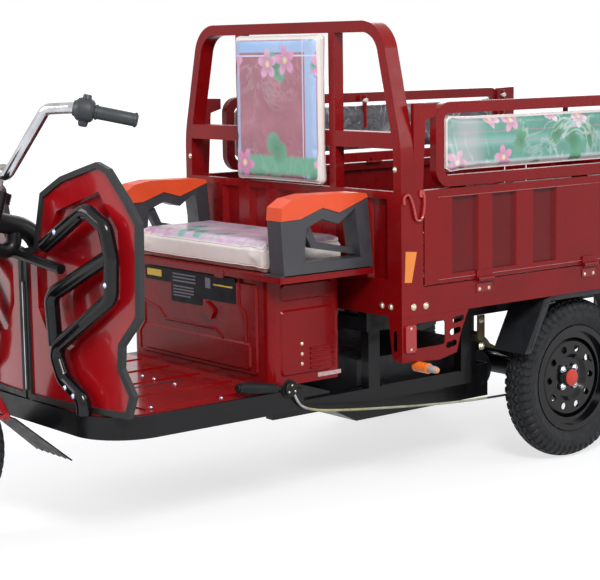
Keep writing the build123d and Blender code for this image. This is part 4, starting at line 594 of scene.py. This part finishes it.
def arc_through(first, middle, last, count):
    """Points on the circle through three points of a section."""
    (x1, y1), (x2, y2), (x3, y3) = first, middle, last
    s1, s2, s3 = x1 ** 2 + y1 ** 2, x2 ** 2 + y2 ** 2, x3 ** 2 + y3 ** 2
    det = 2 * (x1 * (y2 - y3) + x2 * (y3 - y1) + x3 * (y1 - y2))
    cx = (s1 * (y2 - y3) + s2 * (y3 - y1) + s3 * (y1 - y2)) / det
    cy = (s1 * (x3 - x2) + s2 * (x1 - x3) + s3 * (x2 - x1)) / det
    radius = math.hypot(x1 - cx, y1 - cy)
    start, half, end = (math.atan2(y - cy, x - cx) for x, y in (first, middle, last))
    half = start + math.remainder(half - start, full_turn)
    span = half + math.remainder(end - half, full_turn) - start
    angles = [start + span * step / count for step in range(count + 1)]
    return [(cx + radius * math.cos(angle), cy + radius * math.sin(angle)) for angle in angles]


def tread_depth(x, turn_share):
    """How deep the tread is cut, 0 to 1, at a place across the tyre. turn_share counts blocks round it."""
    reach, side = abs(x), (1 if x > 0 else -1)
    if reach > lug_from:
        return 1.0 if (turn_share + 0.18 * side + reach * 9.0) % 1.0 < lug_gap else 0.0
    if reach > ring_groove_from:
        return 1.0
    if reach > rib_from:
        return 0.85 if (turn_share + 0.5 - reach * 14.0 * side) % 1.0 < rib_gap else 0.0
    zigzag = zigzag_swing * (abs(turn_share % 1.0 - 0.5) * 4 - 1)
    return 0.8 if zigzag_from < abs(x - zigzag) <= zigzag_to else 0.0


for tyre_name, body, centre, tyre_radius, block_count in tyre_sizes:
    bulge = (-bulge_half, (bead_radius + tyre_radius) / 2)
    shoulder = (-tread_half, tyre_radius - shoulder_drop)
    wall = arc_through((-bead_half, bead_radius), bulge, shoulder, wall_steps)[:-1]
    crown = arc_through(shoulder, (0, tyre_radius), (tread_half, shoulder[1]), crown_steps)
    section = wall + crown + [(-x, r) for x, r in reversed(wall)]
    bm = bmesh.new()
    loops = []
    for step in range(block_count * block_steps):
        angle = full_turn * step / (block_count * block_steps)
        share = step / block_steps
        loop = []
        for index, (x, radius) in enumerate(section):
            place_x, place_r = x, radius
            # Steps from the crown's edge down the side wall, none on the crown itself
            down = max(wall_steps - index, index - wall_steps - crown_steps, 0)
            if down == 0:
                place_r -= groove * tread_depth(x, share)
            elif down <= lug_steps:
                lug = tread_depth(math.copysign(0.03 + 0.0009 * down, x), share)
                fade = 1.0 if down < lug_steps - 1 else 0.5
                place_r -= groove * 0.5 * lug * fade
                place_x -= math.copysign(groove * 0.45 * lug * fade, x)
            elif down in wall_rings:
                place_x += math.copysign(wall_rings[down], x)
            loop.append(bm.verts.new(centre + Vector((
                place_x, place_r * math.cos(angle), place_r * math.sin(angle)))))
        loops.append(loop)
    for low, high in zip(loops, loops[1:] + loops[:1]):
        for index in range(len(section) - 1):
            bm.faces.new((low[index], low[index + 1], high[index + 1], high[index]))
    tyre = make("moulded_" + tyre_name, bm, "tyre_rubber", body, sharp=28)
    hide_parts(tyre_name)


# Wheel centres: vent rims, nuts, caps and valve stems
vent_ring = 0.093
vent_radius = 0.011
vent_count = 10
nut_ring = 0.038
nut_seat = 0.011
valve_ring = 0.104
wheel_faces = (
    ("left", "rear_wheel_left", rear_axle, 1, 0.0165),
    ("right", "rear_wheel_right", far_rear_axle, -1, 0.0165),
    ("front_left", "front_wheel", front_axle, 1, 0.0165),
    ("front_right", "front_wheel", front_axle, -1, 0.001),
)


def on_wheel(centre, out, ring, angle):
    """A place on a wheel's face."""
    return centre + out + Vector((0, ring * math.cos(angle), ring * math.sin(angle)))


for word, body, centre, side, disc_face in wheel_faces:
    bm = bmesh.new()
    out = right * side
    for number in range(vent_count):
        place = on_wheel(centre, out * disc_face, vent_ring, full_turn * number / vent_count)
        lathe(bm, place, out, [(-0.001, vent_radius), (0.0006, vent_radius), (0.0006, vent_radius + 0.0014),
                               (-0.001, vent_radius + 0.002)], 24, ring=True)
    if body != "front_wheel":
        for number in range(4):
            place = on_wheel(centre, out * nut_seat, nut_ring, math.radians(45 + 90 * number))
            bolt(bm, place, out, 0.0075, True, 1)
    valve = on_wheel(centre, out * 0.006, valve_ring, 0.5)
    lathe(bm, valve, out + 0.5 * (centre - valve).normalized(),
          [(0, 0.0035), (0.022, 0.003), (0.024, 0.0036), (0.032, 0.0034)], 12, 2)
    make("wheel_fittings_" + word, bm, ["black_gloss", "chrome", "rubber"], body)
    if body != "front_wheel":
        bm = bmesh.new()
        lathe(bm, centre + out * 0.0225, out,
              [(0, 0.0265), (0.0022, 0.0262), (0.0034, 0.0235), (0.0034, 0.004), (0.004, 0.002)], 40)
        make("hub_cap_" + word, bm, "red_cap", body)


# Cushions
cloth_pressure = 4.0
cloth_frames = 20
pad_slack = 0.010
flat_under = 0.002
seam_radius = 0.0016
seam_step = 0.012
corner_steps = 6


def settle(pad):
    """Applies a pad's modifiers to its mesh."""
    graph = bpy.context.evaluated_depsgraph_get()
    mesh = bpy.data.meshes.new_from_object(pad.evaluated_get(graph))
    pad.modifiers.clear()
    pad.data = mesh
    return mesh


def inflated(name, low, high, radius, voxel, cap, rest_axis, rest_level, rest_side):
    """A stuffed pad: a rounded block remeshed, blown up as cloth, its growth capped, then smoothed."""
    bm = bmesh.new()
    for vertex in bmesh.ops.create_cube(bm, size=1.0)["verts"]:
        vertex.co = vertex.co * (high - low) + (low + high) / 2
    bmesh.ops.bevel(bm, geom=bm.edges[:], offset=radius, segments=4, affect="EDGES", clamp_overlap=True)
    mesh = bpy.data.meshes.new(name)
    bm.to_mesh(mesh)
    bm.free()
    pad = show(name, mesh)
    remesh = pad.modifiers.new("remesh", "REMESH")
    remesh.mode = "VOXEL"
    remesh.voxel_size = voxel
    fine = settle(pad)
    cloth = pad.modifiers.new("cloth", "CLOTH")
    cloth.settings.use_pressure = True
    cloth.settings.uniform_pressure_force = cloth_pressure
    cloth.settings.effector_weights.gravity = 0
    cloth.settings.quality = 4
    cloth.point_cache.frame_start = 1
    cloth.point_cache.frame_end = cloth_frames
    scene = bpy.context.scene
    for number in range(1, cloth_frames + 1):
        scene.frame_set(number)
    puffed = pad.evaluated_get(bpy.context.evaluated_depsgraph_get())
    shifts = [end.co - start.co for start, end in zip(fine.vertices, puffed.to_mesh().vertices)]
    puffed.to_mesh_clear()
    pad.modifiers.clear()
    scene.frame_set(1)
    for vertex, shift in zip(fine.vertices, shifts):
        vertex.co += shift.normalized() * min(shift.length, cap)
    for vertex in fine.vertices:
        if (vertex.co[rest_axis] - rest_level) * rest_side < flat_under:
            vertex.co[rest_axis] = rest_level
        for axis in range(3):
            vertex.co[axis] = min(max(vertex.co[axis], low[axis] - pad_slack), high[axis] + pad_slack)
    smooth = pad.modifiers.new("smooth", "SMOOTH")
    smooth.factor = 0.5
    smooth.iterations = 3
    divide = pad.modifiers.new("divide", "SUBSURF")
    divide.levels = 1
    divide.render_levels = 1
    for polygon in settle(pad).polygons:
        polygon.use_smooth = True
    return pad


def dress(pad, body, materials, node):
    """Gives a pad its materials and its place in the frame."""
    pad.data.materials.clear()
    for material in materials:
        pad.data.materials.append(paints[material])
    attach(pad, body)
    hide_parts(node)


def seam_on(pad, points, body, name):
    """A line of piping that follows a pad's surface near the given points."""
    line = []
    for point in points:
        _, place, normal, _ = pad.closest_point_on_mesh(point)
        line.append(place + normal * seam_radius * 0.3)
    bm = bmesh.new()
    tube(bm, line + line[:1], seam_radius, 8)
    make(name, bm, "cream_cloth", body)


def loop_round(low, high, axis, level, radius):
    """Points round a rounded rectangle, square to an axis at a level."""
    first, second = [a for a in range(3) if a != axis]
    near_a, near_b = low[first] + radius, low[second] + radius
    far_a, far_b = high[first] - radius, high[second] - radius
    corners = ((far_a, far_b, 0), (near_a, far_b, 90), (near_a, near_b, 180), (far_a, near_b, 270))
    points = []
    for x, y, start in corners:
        for step in range(corner_steps + 1):
            angle = math.radians(start + step * 90 / corner_steps)
            point = Vector()
            point[first] = x + radius * math.cos(angle)
            point[second] = y + radius * math.sin(angle)
            point[axis] = level
            points.append(point)
    dense = []
    for point, following in zip(points, points[1:] + points[:1]):
        count = max(1, int((following - point).length / seam_step))
        dense += [point.lerp(following, step / count) for step in range(count)]
    return dense


seat_low, seat_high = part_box("seat_cushion")
print_material(
    "seat_print", "XYZ", (seat_low.x, seat_high.x, seat_low.y, seat_high.y, seat_high.z - 0.03, 1),
    0.020, 0.03, (0.60, 0.45, 0.57),
    [("up", 0.0, 0.12, (0.58, 0.50, 0.60), 0.03), ("across", 0.22, 0.38, (0.40, 0.56, 0.55), 0.09),
     ("across", 0.60, 0.72, (0.64, 0.38, 0.56), 0.08)],
    ((0.70, 0.34, 0.58), (0.74, 0.50, 0.68), (0.70, 0.62, 0.40)), ((0.16, 0.42, 0.36), (0.30, 0.52, 0.50)),
    flower_scale=10.0, flower_size=0.036, flower_share=0.4, leaf_share=0.3, glint=0.3,
)
seat_pad = inflated(
    "seat_pad", seat_low + Vector((0.003, 0.003, 0.001)), seat_high - Vector((0.003, 0.003, 0.010)),
    radius=0.014, voxel=0.0055, cap=0.010, rest_axis=2, rest_level=seat_low.z + 0.0005, rest_side=1)
dress(seat_pad, "seat", ["seat_print"], "seat_cushion")
seam_on(seat_pad, loop_round(seat_low, seat_high, 2, seat_high.z - 0.004, 0.03), "seat", "seat_seam_top")
seam_on(seat_pad, loop_round(seat_low, seat_high, 2, seat_low.z + 0.004, 0.03), "seat", "seat_seam_low")

back_low, back_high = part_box("backrest")
print_material(
    "back_print", "XZY", (back_low.x, back_high.x, back_low.z, back_high.z, back_low.y + 0.014, -1),
    0.018, 0.012, (0.40, 0.14, 0.19),
    [("up", 0.87, 0.955, (0.32, 0.50, 0.80), 0.004), ("across", 0.05, 0.11, (0.36, 0.42, 0.66), 0.004),
     ("across", 0.84, 0.955, (0.36, 0.50, 0.76), 0.004), ("across", 0.815, 0.83, (0.66, 0.66, 0.86), 0.002),
     ("up", 0.845, 0.86, (0.66, 0.66, 0.86), 0.002), ("up", 0.05, 0.20, (0.13, 0.40, 0.26), 0.012)],
    ((0.74, 0.26, 0.52), (0.80, 0.48, 0.66), (0.78, 0.64, 0.32)), ((0.10, 0.36, 0.22), (0.20, 0.44, 0.30)),
    flower_scale=6.6, flower_size=0.050, flower_share=0.5, leaf_share=0.3, glint=0.14,
)
back_pad = inflated(
    "back_pad", back_low + Vector((-0.001, 0.007, -0.005)), back_high - Vector((-0.001, 0.001, -0.005)),
    radius=0.010, voxel=0.005, cap=0.009, rest_axis=1, rest_level=back_high.y - 0.0005, rest_side=-1)
dress(back_pad, "chassis", ["back_print"], "backrest")
seam_on(back_pad, loop_round(back_low, back_high, 1, back_low.y + 0.006, 0.02), "chassis", "back_seam")

for side, word, out in both_sides:
    body = "bench_" + word
    pad_low, pad_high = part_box("bench_pad_" + word)
    outer = pad_high.x if side > 0 else pad_low.x
    print_material(
        "bench_print_" + word, "YZX",
        (pad_low.y, pad_high.y, pad_low.z, pad_high.z, outer - side * 0.012, side), 0.012, 0.02,
        (0.10, 0.34, 0.26),
        [("up", 0.40, 0.62, (0.22, 0.46, 0.42), 0.02), ("up", 0.0, 0.22, (0.62, 0.67, 0.69), 0.012),
         ("up", 0.66, 0.69, (0.42, 0.20, 0.28), 0.003), ("up", 0.50, 0.53, (0.42, 0.20, 0.28), 0.003),
         ("across", 0.0, 0.14, (0.62, 0.52, 0.58), 0.12)],
        ((0.78, 0.32, 0.52), (0.84, 0.74, 0.78), (0.78, 0.62, 0.36)),
        ((0.05, 0.28, 0.14), (0.16, 0.42, 0.26)),
        flower_scale=8.5, flower_size=0.040, flower_share=0.55, leaf_share=0.5, glint=0.5,
    )
    inset = Vector((0.004, 0.003, 0.003))
    pad = inflated(
        "bench_cushion_" + word, pad_low + inset, pad_high - inset,
        radius=0.012, voxel=0.0058, cap=0.008, rest_axis=0, rest_level=outer, rest_side=-side)
    dress(pad, body, ["bench_print_" + word, "dark_cloth"], "bench_pad_" + word)
    middle_x = (pad_low.x + pad_high.x) / 2
    for polygon in pad.data.polygons:
        if polygon.normal.x * side < -0.5 or (polygon.center.x - middle_x) * side < -0.004:
            polygon.material_index = 1
    seam_on(pad, loop_round(pad_low, pad_high, 0, outer - side * 0.006, 0.02), body, "bench_seam_" + word)


# Fixings, each seated on the surface of its CAD node
node_trees = {}
seat_reach = 0.09


def seat_on(node_name, place, way):
    """Where a line against a direction first meets a CAD node."""
    if node_name not in node_trees:
        node = nodes[node_name]
        corners = [node.matrix_world @ vertex.co for vertex in node.data.vertices]
        faces = [face.vertices[:] for face in node.data.polygons]
        node_trees[node_name] = BVHTree.FromPolygons(corners, faces)
    way = Vector(way).normalized()
    hit = node_trees[node_name].ray_cast(Vector(place) + way * seat_reach, -way, 2 * seat_reach)[0]
    if hit is None:
        raise ValueError("nothing of %s at %s" % (node_name, tuple(place)))
    return hit


# name, node under it, material, facing, radius, places in millimetres, made on both sides
fixings = (
    ("guard_bolts", "guard_tubes", "blue_zinc", (0, -1, 0), 5.0,
     ((218.4, -1676, 823.2), (400, -1640, 700), (242.4, -1673, 421.2), (272.8, -1668, 402.8))),
    ("beam_end_bolts", "bed_frame", "pale_zinc", (0, -1, 0), 6.5, ((430, -763, 556), (467, -763, 555))),
    ("beam_side_bolts", "bed_frame", "pale_zinc", (1, 0, 0), 6.5, ((513, -718, 555), (513, -671, 554))),
    ("hoop_bolts", "hoop", "pale_zinc", (0, -1, 0), 5.5, ((488, -763, 942),)),
    ("floor_bolts", "floor_panel", "blue_zinc", (0, 0, 1), 4.5,
     ((30, -1273, 356), (131, -1272, 356), (361, -1281, 356), (344, -1497, 356))),
    ("seat_box_rivets", "seat_box", "pale_zinc", (1, 0, 0), 3.5,
     ((345, -987, 463), (345, -987, 434), (345, -987, 406))),
)
for name, node_name, material, facing, radius, places in fixings:
    bm = bmesh.new()
    for side in (1, -1):
        way = Vector((side * facing[0], facing[1], facing[2]))
        for x, y, z in places:
            bolt(bm, seat_on(node_name, at(side * x, y, z), way), way, radius / 1000, False)
    make(name, bm, material)

# Spring eyes and shackle tops
spring_low, spring_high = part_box("leaf_springs")
bm = bmesh.new()
for side, _, out in both_sides:
    for y in (spring_low.y + 0.014, spring_high.y - 0.014):
        for z, radius in ((0.372, 0.0085), (spring_high.z - 0.016, 0.0065)):
            bolt(bm, (side * spring_high.x, y, z), out, radius)
make("spring_bolts", bm, "pale_zinc")

# Bed corner: reflective strip on the post, reflector on the skirt, wire hook on the post
strip_outline = [(-748, 714), (-706, 710), (-726, 625), (-752, 627)]
hook_line = [(-682, 872), (-681, 838), (-690, 803), (-711, 801), (-722, 838), (-738, 870), (-756, 866),
             (-757, 846)]
lamp_low, lamp_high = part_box("marker_lamps")
lamp_middle = (lamp_low + lamp_high) / 2
for side, word, out in both_sides:
    along = Vector((0, side, 0))
    post_x = seat_on("hoop", at(side * 515, -728, 660), out).x
    bm = bmesh.new()
    plate(bm, [(post_x, *at(0, y, z).yz) for y, z in strip_outline], out, 0.0012)
    make("post_strip_" + word, bm, "orange_light")
    bm = bmesh.new()
    place = seat_on("corner_skirts", at(side * 514, -733, 466), out)
    sheet_on(bm, place, along, upward, 0.040, 0.078, 0.006, 0, 0.005)
    for up in (0.030, -0.030):
        bolt(bm, place + Vector((side * 0.006, 0, up)), out, 0.0028, False, 1)
    make("skirt_reflector_" + word, bm, ["red_reflector", "pale_zinc"], bevel=0.0008)
    bm = bmesh.new()
    tube(bm, [(post_x + side * 0.006, *at(0, y, z).yz) for y, z in hook_line], 0.0035, 10, steps=6)
    sheet_on(bm, (post_x, *at(0, -688, 872).yz), along, upward, 0.018, 0.020, 0.005, 0, 0.003)
    make("gate_hook_" + word, bm, "red_hook")
    # Hinge leaves on the beam, each with two bolts
    bm = bmesh.new()
    gate_low, gate_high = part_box("side_gate_" + word)
    pin_z = joints["side_gate_%s_hinge" % word]["pos_m"][2]
    for share in (0.17, 0.5, 0.83):
        y = gate_low.y + share * (gate_high.y - gate_low.y)
        place = seat_on("bed_frame", (side * 0.515, y, pin_z - 0.026), out)
        sheet_on(bm, place, along, upward, 0.062, 0.026, 0.0025, 0, 0.003)
        for shift in (-0.019, 0.019):
            bolt(bm, place + Vector((side * 0.0025, shift, -0.003)), out, 0.0036, False, 1)
    make("hinge_leaves_" + word, bm, ["red_moulding", "pale_zinc"])
    # Fold lines along the gate
    bm = bmesh.new()
    for z in (gate_low.z + 0.020, gate_high.z - 0.030):
        start, end = (seat_on("side_gate_" + word, (side * 0.515, y, z), out)
                      for y in (gate_low.y + 0.05, gate_high.y - 0.05))
        tube(bm, [start.lerp(end, step / 12) for step in range(13)], 0.0022, 8)
    make("gate_folds_" + word, bm, "red_moulding", "gate_" + word)
    # Marker lamp tips
    bm = bmesh.new()
    lathe(bm, (side * (lamp_high.x - 0.036), lamp_middle.y, lamp_middle.z), out,
          [(0, 0.0085), (0.004, 0.0105), (0.028, 0.010), (0.034, 0.008), (0.037, 0.004)], 20)
    make("marker_tip_" + word, bm, "grey_tip")

# Mudguards: pressed beads along the front edge
mudguard_lines = (((-248, 372), (-172, 514), (-128, 519)),
                  ((-234, 374), (-186, 484), (-168, 503), (-132, 507)))
for side, word, out in both_sides:
    bm = bmesh.new()
    for line in mudguard_lines:
        tube(bm, [at(side * 508, y, z) for y, z in line], 0.003, 8)
    make("mudguard_beads_" + word, bm, "black_plastic")

# Seat box: blank notice with plain stripes, fold beads, latch, louvres
box_front = seat_on("seat_box", at(-200, -1103, 600), ahead).y
box_side = 345
label_depth = 0.0012


def on_front(x, z, lift=0.0):
    """A place on the seat box's front, from millimetres."""
    return Vector((x / 1000, box_front - lift, z / 1000))


# x, z, width and height in millimetres, layer over the box, material
notice_parts = (
    (-186, 622, 134, 40, 0, 0), (-42, 595, 154, 94, 0, 0), (115, 606, 160, 72, 0, 0),
    (-205, 624, 74, 20, 1, 1),
    (-52, 630, 116, 4, 1, 2), (-52, 620, 116, 4, 1, 2), (-52, 610, 116, 4, 1, 2), (-56, 594, 104, 4, 1, 2),
    (-56, 585, 104, 4, 1, 2), (-56, 576, 104, 4, 1, 2), (-64, 567, 88, 4, 1, 2), (66, 618, 24, 30, 1, 2),
    (138, 616, 90, 4, 1, 1),
)
bm = bmesh.new()
for x, z, width, height, layer, material in notice_parts:
    place = on_front(x, z, layer * label_depth)
    sheet_on(bm, place, right, upward, width / 1000, height / 1000, label_depth, material, 0.001)
make("seat_box_notice", bm, ["sticker_dark", "sticker_yellow", "sticker_grey"])

bead_lines = (
    ((-290, 640), (-290, 560), (-262, 532), (-262, 470), (-290, 440), (-290, 385)),
    ((-151, 490), (100, 490), (132, 468), (132, 392)),
    ((-151, 490), (-190, 520), (-262, 532)),
    ((212, 655), (212, 570), (240, 545), (240, 392)),
)
bm = bmesh.new()
for line in bead_lines:
    tube(bm, [on_front(x, z) for x, z in line], 0.004, 10)
sheet_on(bm, on_front(133, 652), right, upward, 0.044, 0.022, 0.012, 0, 0.004)
sheet_on(bm, on_front(70, 540), (1, 0, -0.55), (0.55, 0, 1), 0.052, 0.036, 0.009, 0, 0.006)
make("seat_box_pressings", bm, "red_paint")

for side, word, out in both_sides:
    bm = bmesh.new()
    for z in (390, 404, 418, 432, 446):
        start, end = (seat_on("seat_box", at(side * box_side, y, z), out) for y in (-958, -866))
        tube(bm, [start.lerp(end, step / 8) for step in range(9)], 0.0042, 10)
    make("seat_box_louvres_" + word, bm, "red_paint")
    bm = bmesh.new()
    place = seat_on("seat_box", at(side * box_side, -885, 366), out)
    sheet_on(bm, place, (0, side, 0), upward, 0.085, 0.012, label_depth)
    make("seat_box_strip_" + word, bm, "pale_strip")

# Plastic bases under the armrests, over the ends of the lid
arm_low, arm_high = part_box("armrests")
near_x, far_x = seat_high.x + 0.003, arm_high.x
near_y, far_y = arm_low.y, arm_high.y - 0.01
base_depth = 0.0035
base_ribs = (((0.2, 0.05), (0.85, 0.30)), ((0.2, 0.62), (0.85, 0.36)), ((0.25, 0.80), (0.9, 0.66)))
for side, word, out in both_sides:
    bm = bmesh.new()
    level = seat_on("seat_plate", (side * (seat_high.x + 0.004), arm_low.y + 0.02, arm_low.z), upward).z
    outline = [(near_x, near_y), (far_x, near_y), (far_x, far_y), (near_x, far_y)]
    plate(bm, [(side * x, y, level) for x, y in outline], upward, base_depth)
    for rib in base_ribs:
        tube(bm, [(side * (near_x + (far_x - near_x) * a), arm_low.y + (arm_high.y - arm_low.y) * b,
                   level + base_depth) for a, b in rib], 0.0035, 8)
    make("armrest_base_" + word, bm, "arm_plastic", "seat")

# Floor: seam of the mat
bm = bmesh.new()
seam_place = at(82, -1296, 0)
seam_place.z = seat_on("floor_panel", at(82, -1300, 356), upward).z
sheet_on(bm, seam_place, right, (0, 1, 0), 0.006, 0.167, 0.0012)
make("floor_seam", bm, "mat_line")

# Parking lever: thick sleeve, round clamp with three bolts
bm = bmesh.new()
tube(bm, [at(396, -1255 + 134 * t / 8, 381.5 - 19 * t / 8) for t in range(9)],
     [0.009, 0.0145, 0.0165, 0.0165, 0.016, 0.0155, 0.0145, 0.0140, 0.0125], 20, steps=1)
clamp_y, clamp_z, clamp_ring = -1080, 356, 12
lathe(bm, at(409, clamp_y, clamp_z), right, [(0, 0.019), (0.003, 0.020), (0.005, 0.018)], 28)
for number in range(3):
    angle = math.radians(90 + 120 * number)
    place = at(413, clamp_y + clamp_ring * math.cos(angle), clamp_z + clamp_ring * math.sin(angle))
    bolt(bm, place, right, 0.0032, True, 1)
make("parking_sleeve", bm, ["rubber", "pale_zinc"])

# The moulding between the two shields: a rubber strip, and on it a thin chrome bead that is a painted
# highlight standing for the light on the rubber's edge
bm = bmesh.new()
trim_front = seat_on("shield_trims", at(12, -1655, 540), ahead).y
sheet_on(bm, (0, trim_front + 0.0005, 0.525), right, upward, 0.026, 0.30, 0.003, 0, 0.004)
tube(bm, [(0.003, trim_front - 0.003, 0.38 + 0.145 * step) for step in range(3)], 0.0022, 10, 1, steps=4)
make("centre_moulding", bm, ["rubber", "chrome"])

# Handlebar: switch housings with lug and buttons, collars at the grips
grip_end = Vector((0.408, -0.8452, 1.1071))
grip_inward = Vector((-0.096, -0.120, 0.033)).normalized()
grip_length = 0.108
button_turn = 0.9
for side, word, out in both_sides:
    mirror = Vector((side, 1, 1))
    tip, inward = grip_end * mirror, grip_inward * mirror
    start = tip + inward * grip_length
    over = (upward - inward * inward.z).normalized()
    face = inward.cross(over)
    bm = bmesh.new()
    lathe(bm, start, inward, [(0, 0.023), (0.004, 0.028), (0.010, 0.0305), (0.034, 0.0305), (0.041, 0.028),
                              (0.046, 0.022), (0.052, 0.019)], 14)
    lug = start + inward * 0.022
    lathe(bm, lug + over * 0.022, over, [(0, 0.012), (0.014, 0.011), (0.017, 0.009)], 16)
    lathe(bm, lug - over * 0.022, -over, [(0, 0.014), (0.016, 0.012), (0.02, 0.009)], 12)
    way = (face * math.cos(button_turn) + over * math.sin(button_turn)).normalized()
    for along, part in ((0.014, 1), (0.026, 2), (0.036, 1)):
        lathe(bm, start + inward * along + way * 0.028, way, [(0, 0.0052), (0.0045, 0.005), (0.006, 0.0038)],
              14, part)
    for along, wide in ((-0.001, 0.0190), (0.098, 0.0195)):
        lathe(bm, tip + inward * along, inward, [(0, 0.0160), (0.001, wide), (0.006, wide), (0.008, 0.0165)],
              32, ring=True)
    make("switch_housing_" + word, bm, ["grip_rubber", "red_cap", "sticker_yellow"], "steering")


# Fork: bellows over the stanchions, nuts on the spindle; headlamp rim, reflector and bulb
def on_steer(x, back, up):
    """A point by its place across, behind and up along the steering axis, from millimetres."""
    behind = Vector((0, steer_axis.z, -steer_axis.y))
    return steer_foot + right * x / 1000 + behind * back / 1000 + steer_axis * up / 1000


fold_count, fold_pitch = 13, 0.0155
bellows = [(0, 0.0215)]
for step in range(fold_count):
    bellows += [(0.006 + step * fold_pitch, 0.0215), (0.0135 + step * fold_pitch, 0.0262)]
bellows.append((0.212, 0.0205))
for side, word, out in both_sides:
    bm = bmesh.new()
    lathe(bm, on_steer(side * 88, -35, 280), steer_axis, bellows)
    bolt(bm, (side * 0.1085, front_axle.y, front_axle.z), out, 0.011, True, 1)
    make("fork_bellows_" + word, bm, ["rubber", "pale_zinc"], "steering")

lamp_rim = on_steer(0, -127, 640) + ahead * 0.095
bm = bmesh.new()
for section in (
    [(-0.012, 0.0785), (0.002, 0.0795), (0.005, 0.0775), (0.004, 0.0742), (-0.001, 0.0745)],
    [(-0.0300, 0.012), (-0.0285, 0.030), (-0.0240, 0.048), (-0.0165, 0.063), (-0.0070, 0.0735),
     (-0.0085, 0.0742), (-0.0180, 0.0640), (-0.0255, 0.0490), (-0.0300, 0.0305), (-0.0312, 0.012)],
):
    lathe(bm, lamp_rim, ahead, section, 64, ring=True)
bulb = [(0, 0.008), (0.010, 0.008), (0.015, 0.0065), (0.018, 0.003)]
lathe(bm, lamp_rim - ahead * 0.031, ahead, bulb, 16, 1)
make("headlamp_fittings", bm, ["chrome", "white_cap"], "steering")

# Bench legs folded against the inner faces, with pale end caps
for side, word, out in both_sides:
    bench_low, bench_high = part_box("bench_frame_" + word)
    inner_x = (bench_low.x if side > 0 else bench_high.x) - side * 0.007
    bm = bmesh.new()
    for y in (-40, 640):
        line = [Vector((inner_x, *at(0, y, 1005 + 110 * step / 6).yz)) for step in range(7)]
        tube(bm, line, 0.008)
        lathe(bm, line[-2], -out, [(0, 0.0085), (0.010, 0.0085), (0.013, 0.006)], 16, 1)
    make("bench_legs_" + word, bm, ["red_paint", "white_cap"], "bench_" + word)


# Brake cable: from the lever to the left drum, slack between its clips
cable_radius = 0.0035
cable_points = [
    (0.4091, -0.3672, 0.372), (0.4091, -0.3512, 0.320), (0.4051, -0.3072, 0.288), (0.4031, -0.1652, 0.266),
    (0.3891, 0.1928, 0.228), (0.3745, 0.4328, 0.210), (0.3745, 0.6528, 0.208),
]
cable_curve = bpy.data.curves.new("brake_cable_line", "CURVE")
cable_curve.dimensions = "3D"
cable_curve.bevel_depth = cable_radius
cable_curve.bevel_resolution = 3
cable_curve.use_fill_caps = True
cable_spline = cable_curve.splines.new("NURBS")
cable_spline.points.add(len(cable_points) - 1)
for control, point in zip(cable_spline.points, cable_points):
    control.co = (*point, 1)
cable_spline.order_u = 3
cable_spline.use_endpoint_u = True
cable_spline.resolution_u = 12
cable_curve.materials.append(paints["cable_sleeve"])
cable = show("brake_cable_line", cable_curve)
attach(cable, "chassis")
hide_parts("brake_cable")


# Floor, backdrop and light
def seen_directly(tree):
    """1 for the rays that show the surroundings: camera, glossy and transmission rays."""
    path = add(tree, "LightPath", {}).socket.node
    seen = Value(path.outputs["Is Camera Ray"])
    for ray in ("Is Glossy Ray", "Is Transmission Ray"):
        seen = seen.calc("MAXIMUM", seen, Value(path.outputs[ray]))
    return seen


floor_half = 40.0
floor_corners = ((-1, -1), (1, -1), (1, 1), (-1, 1))
floor_mesh = bpy.data.meshes.new("floor")
floor_mesh.from_pydata([(x * floor_half, y * floor_half, 0) for x, y in floor_corners], [], [(0, 1, 2, 3)])
floor = show("floor", floor_mesh)
tree, shader = start_material("floor_white")
feed(shader, {"Base Color": (0.36, 0.36, 0.365), "Roughness": 0.9, "Specular IOR Level": 0.1})
brightness = remap(tree, length(tree, coordinates(tree)), 0.70, 1.0, 2.0, 5.0)
glow = add(tree, "Emission", {"Color": (1, 1, 1), "Strength": seen_directly(tree) * brightness})
lit = add(tree, "AddShader", {0: Value(shader.outputs["BSDF"]), 1: glow})
feed(tree.nodes["Material Output"], {"Surface": lit})
floor_mesh.materials.append(paints["floor_white"])

world = bpy.data.worlds.new("world")
bpy.context.scene.world = world
world.use_nodes = True
tree = world.node_tree
height = remap(tree, parts(tree, add(tree, "TexCoord", {}, "Generated"))[2], 0, 1, -0.1, 0.9)
sky = blend(tree, height, (0.24, 0.25, 0.27), (0.62, 0.64, 0.68))
shown = blend(tree, seen_directly(tree), sky, (1.0, 1.0, 1.0))
feed(tree.nodes["Background"], {"Color": shown, "Strength": 1.0})

# name, place, what it points at, size, power
lamps = (
    ("key", at(3500, -2500, 3400), at(0, -800, 700), 1.3, 165.0),
    ("fill", at(3700, 3000, 2300), at(200, 0, 600), 1.8, 38.0),
    ("front", at(-1400, -4600, 2400), at(0, -1300, 700), 1.8, 62.0),
    ("back", at(-3200, 2600, 3200), at(0, 0, 700), 2.0, 60.0),
)
for lamp_name, place, target, size, power in lamps:
    lamp_data = bpy.data.lights.new(lamp_name, "AREA")
    lamp_data.shape = "SQUARE"
    lamp_data.size = size
    lamp_data.energy = power
    lamp = show(lamp_name, lamp_data)
    turned = (target - place).to_track_quat("-Z", "Y").to_matrix()
    lamp.matrix_world = Matrix.Translation(place) @ turned.to_4x4()
